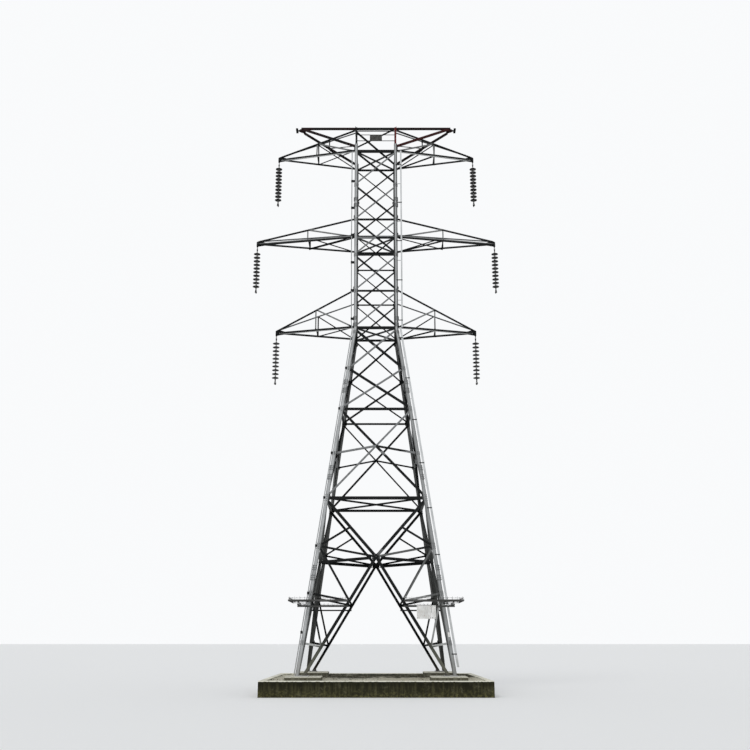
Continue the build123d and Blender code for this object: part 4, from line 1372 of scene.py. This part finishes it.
def make_arm_plan_bars():
    """Angles under the middle arms, from the front root of each to its rear node."""
    width = 0.045
    thickness = 0.005
    root_gap = 0.03
    node_lap = 0.02
    (root, tip), _ = chord_ends("middle")
    node_x = arm_node["middle"]
    node_y = root.y + (tip.y - root.y) * (node_x - root.x) / (tip.x - root.x)
    under = root.z - seat
    bm = bmesh.new()
    for hand in (-1, 1):
        start = Vector((hand * (waist_half + root_gap), -root_side + root_gap, under))
        end = Vector((hand * (node_x + node_lap), node_y - node_lap, under))
        square = (end - start).cross(down * hand).normalized()
        for across, push in ((square * width, down * thickness), (down * width, square * thickness)):
            add_slab(bm, [start, end, end + across, start + across], push)
    tower_piece("arm_plan_bars", bm, brace_zinc)


def make_arm_struts():
    """Thin struts that stiffen the top arms near their middle, with small plates at their ends."""
    reach = 1.82
    half_width_across = 0.018
    depth = 0.034
    thickness = 0.006
    head_rise = 0.045
    knee_level = top_level + 0.50
    root_level = top_level + 0.26
    plate_height = Vector((0, 0, 0.07))
    _, (chord_root, chord_end) = chord_ends("top")
    share = (reach - chord_root.x) / (chord_end.x - chord_root.x)
    joint = chord_root.lerp(chord_end, share)
    bm = bmesh.new()
    for hand, side in corner_signs:
        face = side * (joint.y + skin_gap)
        head = Vector((hand * joint.x, face, joint.z + head_rise))
        foot = Vector((hand * joint.x, face, knee_level))
        root = Vector((hand * (waist_half + 0.012), side * (waist_half - 0.10), root_level))
        outward = line_way * side * thickness
        wide = Vector((half_width_across, 0, 0))
        add_slab(bm, [head - wide, head + wide, foot + wide, foot - wide], outward)
        add_slab(bm, [foot, root, root + down * depth, foot + down * depth], outward)
        for corner in (head + down * 0.06, foot - down * 0.01):
            inner = corner - Vector((hand * 0.03, 0, 0))
            low_end = corner + Vector((hand * 0.04, 0, 0))
            high_end = corner + Vector((hand * 0.025, 0, 0))
            plate = [inner, low_end, high_end + plate_height, inner + plate_height]
            add_slab(bm, plate, outward * -0.8)
    tower_piece("arm_struts", bm, gusset_zinc)


# Insulator strings
def shell_mesh():
    """Porcelain shell of one disc, with the ribs under it."""
    bm = bmesh.new()
    profile = [
        (0.028, 0.016), (0.056, 0.010), (0.086, 0.002), (0.110, -0.008), (0.123, -0.015),
        (0.127, -0.019), (0.127, -0.026), (0.123, -0.029), (0.115, -0.026), (0.107, -0.020),
        (0.103, -0.030), (0.096, -0.031), (0.092, -0.015), (0.080, -0.012), (0.078, -0.028),
        (0.071, -0.029), (0.066, -0.010), (0.054, -0.008), (0.051, -0.024), (0.043, -0.024),
        (0.030, -0.006), (0.014, 0.000), (0.014, 0.010),
    ]
    add_turned(bm, profile, 28)
    return finished_mesh(bm, "shell", 0.7)


def cap_mesh():
    """Cast cap with its socket, and the pin that hangs below the shell."""
    bm = bmesh.new()
    cap = [
        (0.029, 0.008), (0.032, 0.013), (0.028, 0.019), (0.027, 0.044), (0.025, 0.056), (0.020, 0.066),
        (0.016, 0.071), (0.017, 0.082), (0.014, 0.085), (0.010, 0.080), (0.0, 0.078),
    ]
    add_turned(bm, cap, 14)
    add_turned(bm, [(0.0, 0.010), (0.0105, 0.008), (0.0105, -0.055), (0.016, -0.062), (0.0, -0.066)], 10)
    return finished_mesh(bm, "cap", 0.6)


def add_shackle(bm, pin):
    """Shackle pin with its two heads, the bow that hangs from it, and the eye in the bow."""
    half_gap = line_way * 0.018
    lug = down * -0.012
    add_rod(bm, pin - line_way * 0.034, pin + line_way * 0.034, 0.010, 12)
    for end in (-1, 1):
        add_rod(bm, pin + line_way * 0.026 * end, pin + line_way * 0.033 * end, 0.018, 6)
    bow = arc_points(pin + down * 0.055, half_gap, down * 0.02, math.pi, 8)
    add_bent_rod(bm, [pin + half_gap + lug, *bow, pin - half_gap + lug], 0.0085, 8)
    eye = arc_points(pin + down * 0.091, down * -0.022, Vector((0.017, 0, 0)), 2 * math.pi, 12)
    add_bent_rod(bm, eye, 0.0075, 8)


def add_links(bm, pin):
    """Ball link above the first disc, and socket link below the last."""
    link_radius = 0.022
    last_pin = first_disc_drop + (disc_count - 1) * disc_pitch + 0.055
    ball = [(0, 0.03), (0.026, 0.028), (0.030, 0.012), (0.026, -0.002), (0, -0.004)]
    socket = [(0, 0.02), (0.022, 0.018), (0.026, 0.0), (0.024, -0.028), (0.014, -0.036), (0, -0.036)]
    add_rod(bm, pin + down * 0.112, pin + down * 0.206, link_radius, 10)
    add_turned(bm, ball, 12, pin + down * 0.150)
    add_turned(bm, socket, 12, pin + down * (last_pin + 0.02))
    add_rod(bm, pin + down * (last_pin + 0.05), pin + down * (clamp_drop - 0.060), link_radius, 10)


def half_pipe_ring(bm, centre, inner, outer, start_turn):
    """Section of a half pipe, from one lip to the other inside and back outside."""
    parts = 8
    ring = []
    for radius, row in ((inner, range(parts + 1)), (outer, range(parts, -1, -1))):
        for part in row:
            turn = start_turn + math.pi * part / parts
            ring.append(bm.verts.new(centre + Vector((math.cos(turn), 0, math.sin(turn))) * radius))
    return ring


def add_line_clamp(bm, axis):
    """Hanging clamp round a line: two cheeks, their plate and bolts, trough, keeper and two straps."""
    bore = 0.0115
    keeper_radius = 0.019
    half_length = 0.1
    cheek_side = 0.027
    cheek_thickness = 0.006
    cheek_top = down * -0.066
    cheek_foot = down * 0.012
    top_half = line_way * 0.018
    foot_half = line_way * 0.012
    for end in (-1, 1):
        across = Vector((end, 0, 0))
        face = axis + across * cheek_side
        corners = [
            face + cheek_top + top_half, face + cheek_top - top_half,
            face + cheek_foot - foot_half, face + cheek_foot + foot_half,
        ]
        add_slab(bm, corners, across * cheek_thickness)
        add_rod(bm, face + across * 0.004, face + across * 0.016, 0.012, 6)
    plate = [
        axis + down * -0.060 + Vector((hand * 0.034, side * 0.017, 0))
        for hand, side in ((-1, -1), (1, -1), (1, 1), (-1, 1))
    ]
    add_slab(bm, plate, down * 0.010)
    trough = []
    for step in range(-6, 7):
        along = step / 6
        wall = 0.010 - 0.004 * abs(along)
        centre = axis + line_way * half_length * along + down * 0.005 * along ** 4
        trough.append(half_pipe_ring(bm, centre, bore, bore + wall, math.pi))
    join_rings(bm, trough)
    keeper = [
        half_pipe_ring(bm, axis + line_way * 0.018 * step - down * 0.001, bore, keeper_radius, 0.0)
        for step in range(-3, 4)
    ]
    join_rings(bm, keeper)
    for end in (-1, 1):
        centre = axis + line_way * 0.035 * end + down * 0.004
        bend = arc_points(centre, Vector((0.0245, 0, 0)), down * -0.029, math.pi, 10)
        add_bent_rod(bm, [bend[0] + down * 0.02, *bend, bend[-1] + down * 0.02], 0.006, 6)


def fittings_mesh(pin):
    """Shackle and links of one string, and the clamp at its foot."""
    bm = bmesh.new()
    add_shackle(bm, pin)
    add_links(bm, pin)
    add_line_clamp(bm, pin + down * clamp_drop)
    return finished_mesh(bm, "fittings", 0.7)


def make_insulators():
    """Six strings: porcelain shells and their caps, hung a little unevenly, and the fittings."""
    for place in places:
        for hand in hands:
            body = f"string_{place}_{hand}"
            node = f"insulator_string_{place}_{hand}"
            low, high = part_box(node)
            pin = Vector(((low.x + high.x) / 2, 0.0, arm_levels[place] - pin_drop))
            discs = []
            for count in range(disc_count):
                drop = first_disc_drop + count * disc_pitch
                lean_x = 0.004 * math.sin(2.1 * count + pin.x)
                lean_y = 0.004 * math.cos(1.7 * count + pin.z)
                lean = Vector((lean_x, lean_y, 1)).normalized()
                discs.append((pin + down * drop, lean, count * 0.9, full_size))
            repeat(f"porcelain_{place}_{hand}", shell_mesh(), discs, porcelain, body, [node])
            repeat(f"caps_{place}_{hand}", cap_mesh(), discs, cap_zinc, body, [node])
            place_piece(
                f"fittings_{place}_{hand}", fittings_mesh(pin), cap_iron, body, [node]
            )


# Ground inside the curb
soil_half = fill_high.x - 0.004


def soil_rise(x, y):
    """Height of the soil over the fill: broad waves, clods, and a heap against the curb."""
    mean_rise = 0.020
    least_rise = 0.003
    wave_height = 0.022
    clod_height = 0.012
    heap_height = 0.016
    heap_width = 0.12
    waves = noise.fractal(Vector((x * 0.9, y * 0.9, 3.0)), 0.9, 2.1, 5)
    clods = noise.fractal(Vector((x * 6.0, y * 6.0, 9.0)), 0.8, 2.0, 3)
    heap = math.exp((max(abs(x), abs(y)) - soil_half) / heap_width)
    return max(least_rise, mean_rise + wave_height * waves + clod_height * clods + heap_height * heap)


def make_soil_surface():
    """Uneven soil over the fill."""
    steps = 150
    bm = bmesh.new()
    rows = []
    for row in range(steps + 1):
        y = soil_half * (2 * row / steps - 1)
        line = []
        for column in range(steps + 1):
            x = soil_half * (2 * column / steps - 1)
            line.append(bm.verts.new((x, y, fill_high.z + soil_rise(x, y))))
        rows.append(line)
    for near, far in zip(rows, rows[1:]):
        for column in range(steps):
            bm.faces.new((near[column], near[column + 1], far[column + 1], far[column]))
    tower_piece("soil_surface", bm, fill_soil, 3.0)


def stone_mesh():
    """Rough stone of a few faces."""
    bm = bmesh.new()
    bmesh.ops.create_icosphere(bm, subdivisions=1, radius=1.0)
    for vert in bm.verts:
        vert.co *= 0.75 + 0.35 * noise.noise(vert.co * 1.7)
    return finished_mesh(bm, "stone")


def make_stones():
    """Stones strewn over the soil, none on the footing pads."""
    stone_count = 1500
    sunk_level = fill_high.z + 0.020
    reach = soil_half - 0.03
    pad_side = 1.13
    pad_inner = pad_high.x - pad_side - 0.03
    pad_outer = pad_high.x + 0.02
    scatter = random.Random(41)
    spots = []
    while len(spots) < stone_count:
        x = scatter.uniform(-1, 1) * reach
        y = scatter.uniform(-1, 1) * reach
        if pad_inner < min(abs(x), abs(y)) and max(abs(x), abs(y)) < pad_outer:
            continue
        size = 0.010 + 0.030 * scatter.random() ** 4
        spots.append((
            Vector((x, y, sunk_level)),
            Vector((scatter.uniform(-1, 1), scatter.uniform(-1, 1), 1.2)).normalized(),
            scatter.uniform(0, 6.28),
            (size, size * scatter.uniform(0.6, 1.0), size * scatter.uniform(0.5, 0.8)),
        ))
    repeat("stones", stone_mesh(), spots, stone_grey, "tower")


def make_floor():
    """Wide pale floor under the plinth."""
    made, _, shader = material("studio_floor")
    shader.inputs["Base Color"].default_value = (0.90, 0.90, 0.89, 1.0)
    shader.inputs["Roughness"].default_value = 0.9
    reach = 400.0
    corners = [(-reach, -reach, 0), (reach, -reach, 0), (reach, reach, 0), (-reach, reach, 0)]
    mesh = bpy.data.meshes.new("floor")
    mesh.from_pydata(corners, [], [(0, 1, 2, 3)])
    mesh.materials.append(made)
    floor = bpy.data.objects.new("floor", mesh)
    scene.collection.objects.link(floor)


def make_sky():
    """Plain pale world, brighter where the camera or a reflection sees it than as a light."""
    world = bpy.data.worlds.new("studio_sky")
    scene.world = world
    world.use_nodes = True
    tree = world.node_tree
    light = tree.nodes["Background"]
    light.inputs["Color"].default_value = (0.93, 0.96, 1.0, 1.0)
    light.inputs["Strength"].default_value = 0.55
    backdrop = tree.nodes.new("ShaderNodeBackground")
    backdrop.inputs["Color"].default_value = (0.95, 0.96, 0.97, 1.0)
    rays = tree.nodes.new("ShaderNodeLightPath").outputs
    seen = larger(tree, rays["Is Camera Ray"], rays["Is Glossy Ray"])
    seen = larger(tree, seen, rays["Is Transmission Ray"])
    mix = tree.nodes.new("ShaderNodeMixShader")
    tree.links.new(seen, mix.inputs[0])
    tree.links.new(light.outputs[0], mix.inputs[1])
    tree.links.new(backdrop.outputs[0], mix.inputs[2])
    tree.links.new(mix.outputs[0], tree.nodes["World Output"].inputs["Surface"])


def make_sun():
    """Soft sun, high on the camera's side."""
    sun = bpy.data.lights.new("soft_sun", "SUN")
    sun.energy = 1.2
    sun.angle = math.radians(35)
    sun_object = bpy.data.objects.new("soft_sun", sun)
    sun_object.rotation_euler = (math.radians(38), math.radians(-18), 0)
    scene.collection.objects.link(sun_object)


def make_camera():
    """Eye-level camera in front of the tower, tilted up as in the photograph."""
    eye_height = 1.658
    eye_distance = 33.5
    side_step = -0.035
    tilt_up = 15.596
    camera = bpy.data.cameras.new("camera")
    camera.lens = 45.61
    camera.sensor_width = 36.0
    camera.clip_end = 1500.0
    camera_object = bpy.data.objects.new("camera", camera)
    camera_object.location = (side_step, -eye_distance, eye_height)
    camera_object.rotation_euler = (math.radians(90 + tilt_up), 0, 0)
    scene.collection.objects.link(camera_object)
    scene.camera = camera_object


make_node_plates()
make_cover_plates()
bolt_bracing()
bolt_arms()
bolt_warning_plates()
repeat("bolts", bolt_mesh(), body_bolts, bolt_zinc, "tower")
repeat("leg_bolts", bolt_mesh(), leg_bolts, leg_bolt_zinc, "tower")
make_anchors()
make_leg_tag()
make_guard_wire()
make_earthing_strap()
make_clamps()
make_rail_face()
make_peak_stays()
make_arm_plan_bars()
make_arm_struts()
make_insulators()
make_soil_surface()
make_stones()
make_floor()
make_sky()
make_sun()
make_camera()
scene.view_settings.view_transform = "Standard"
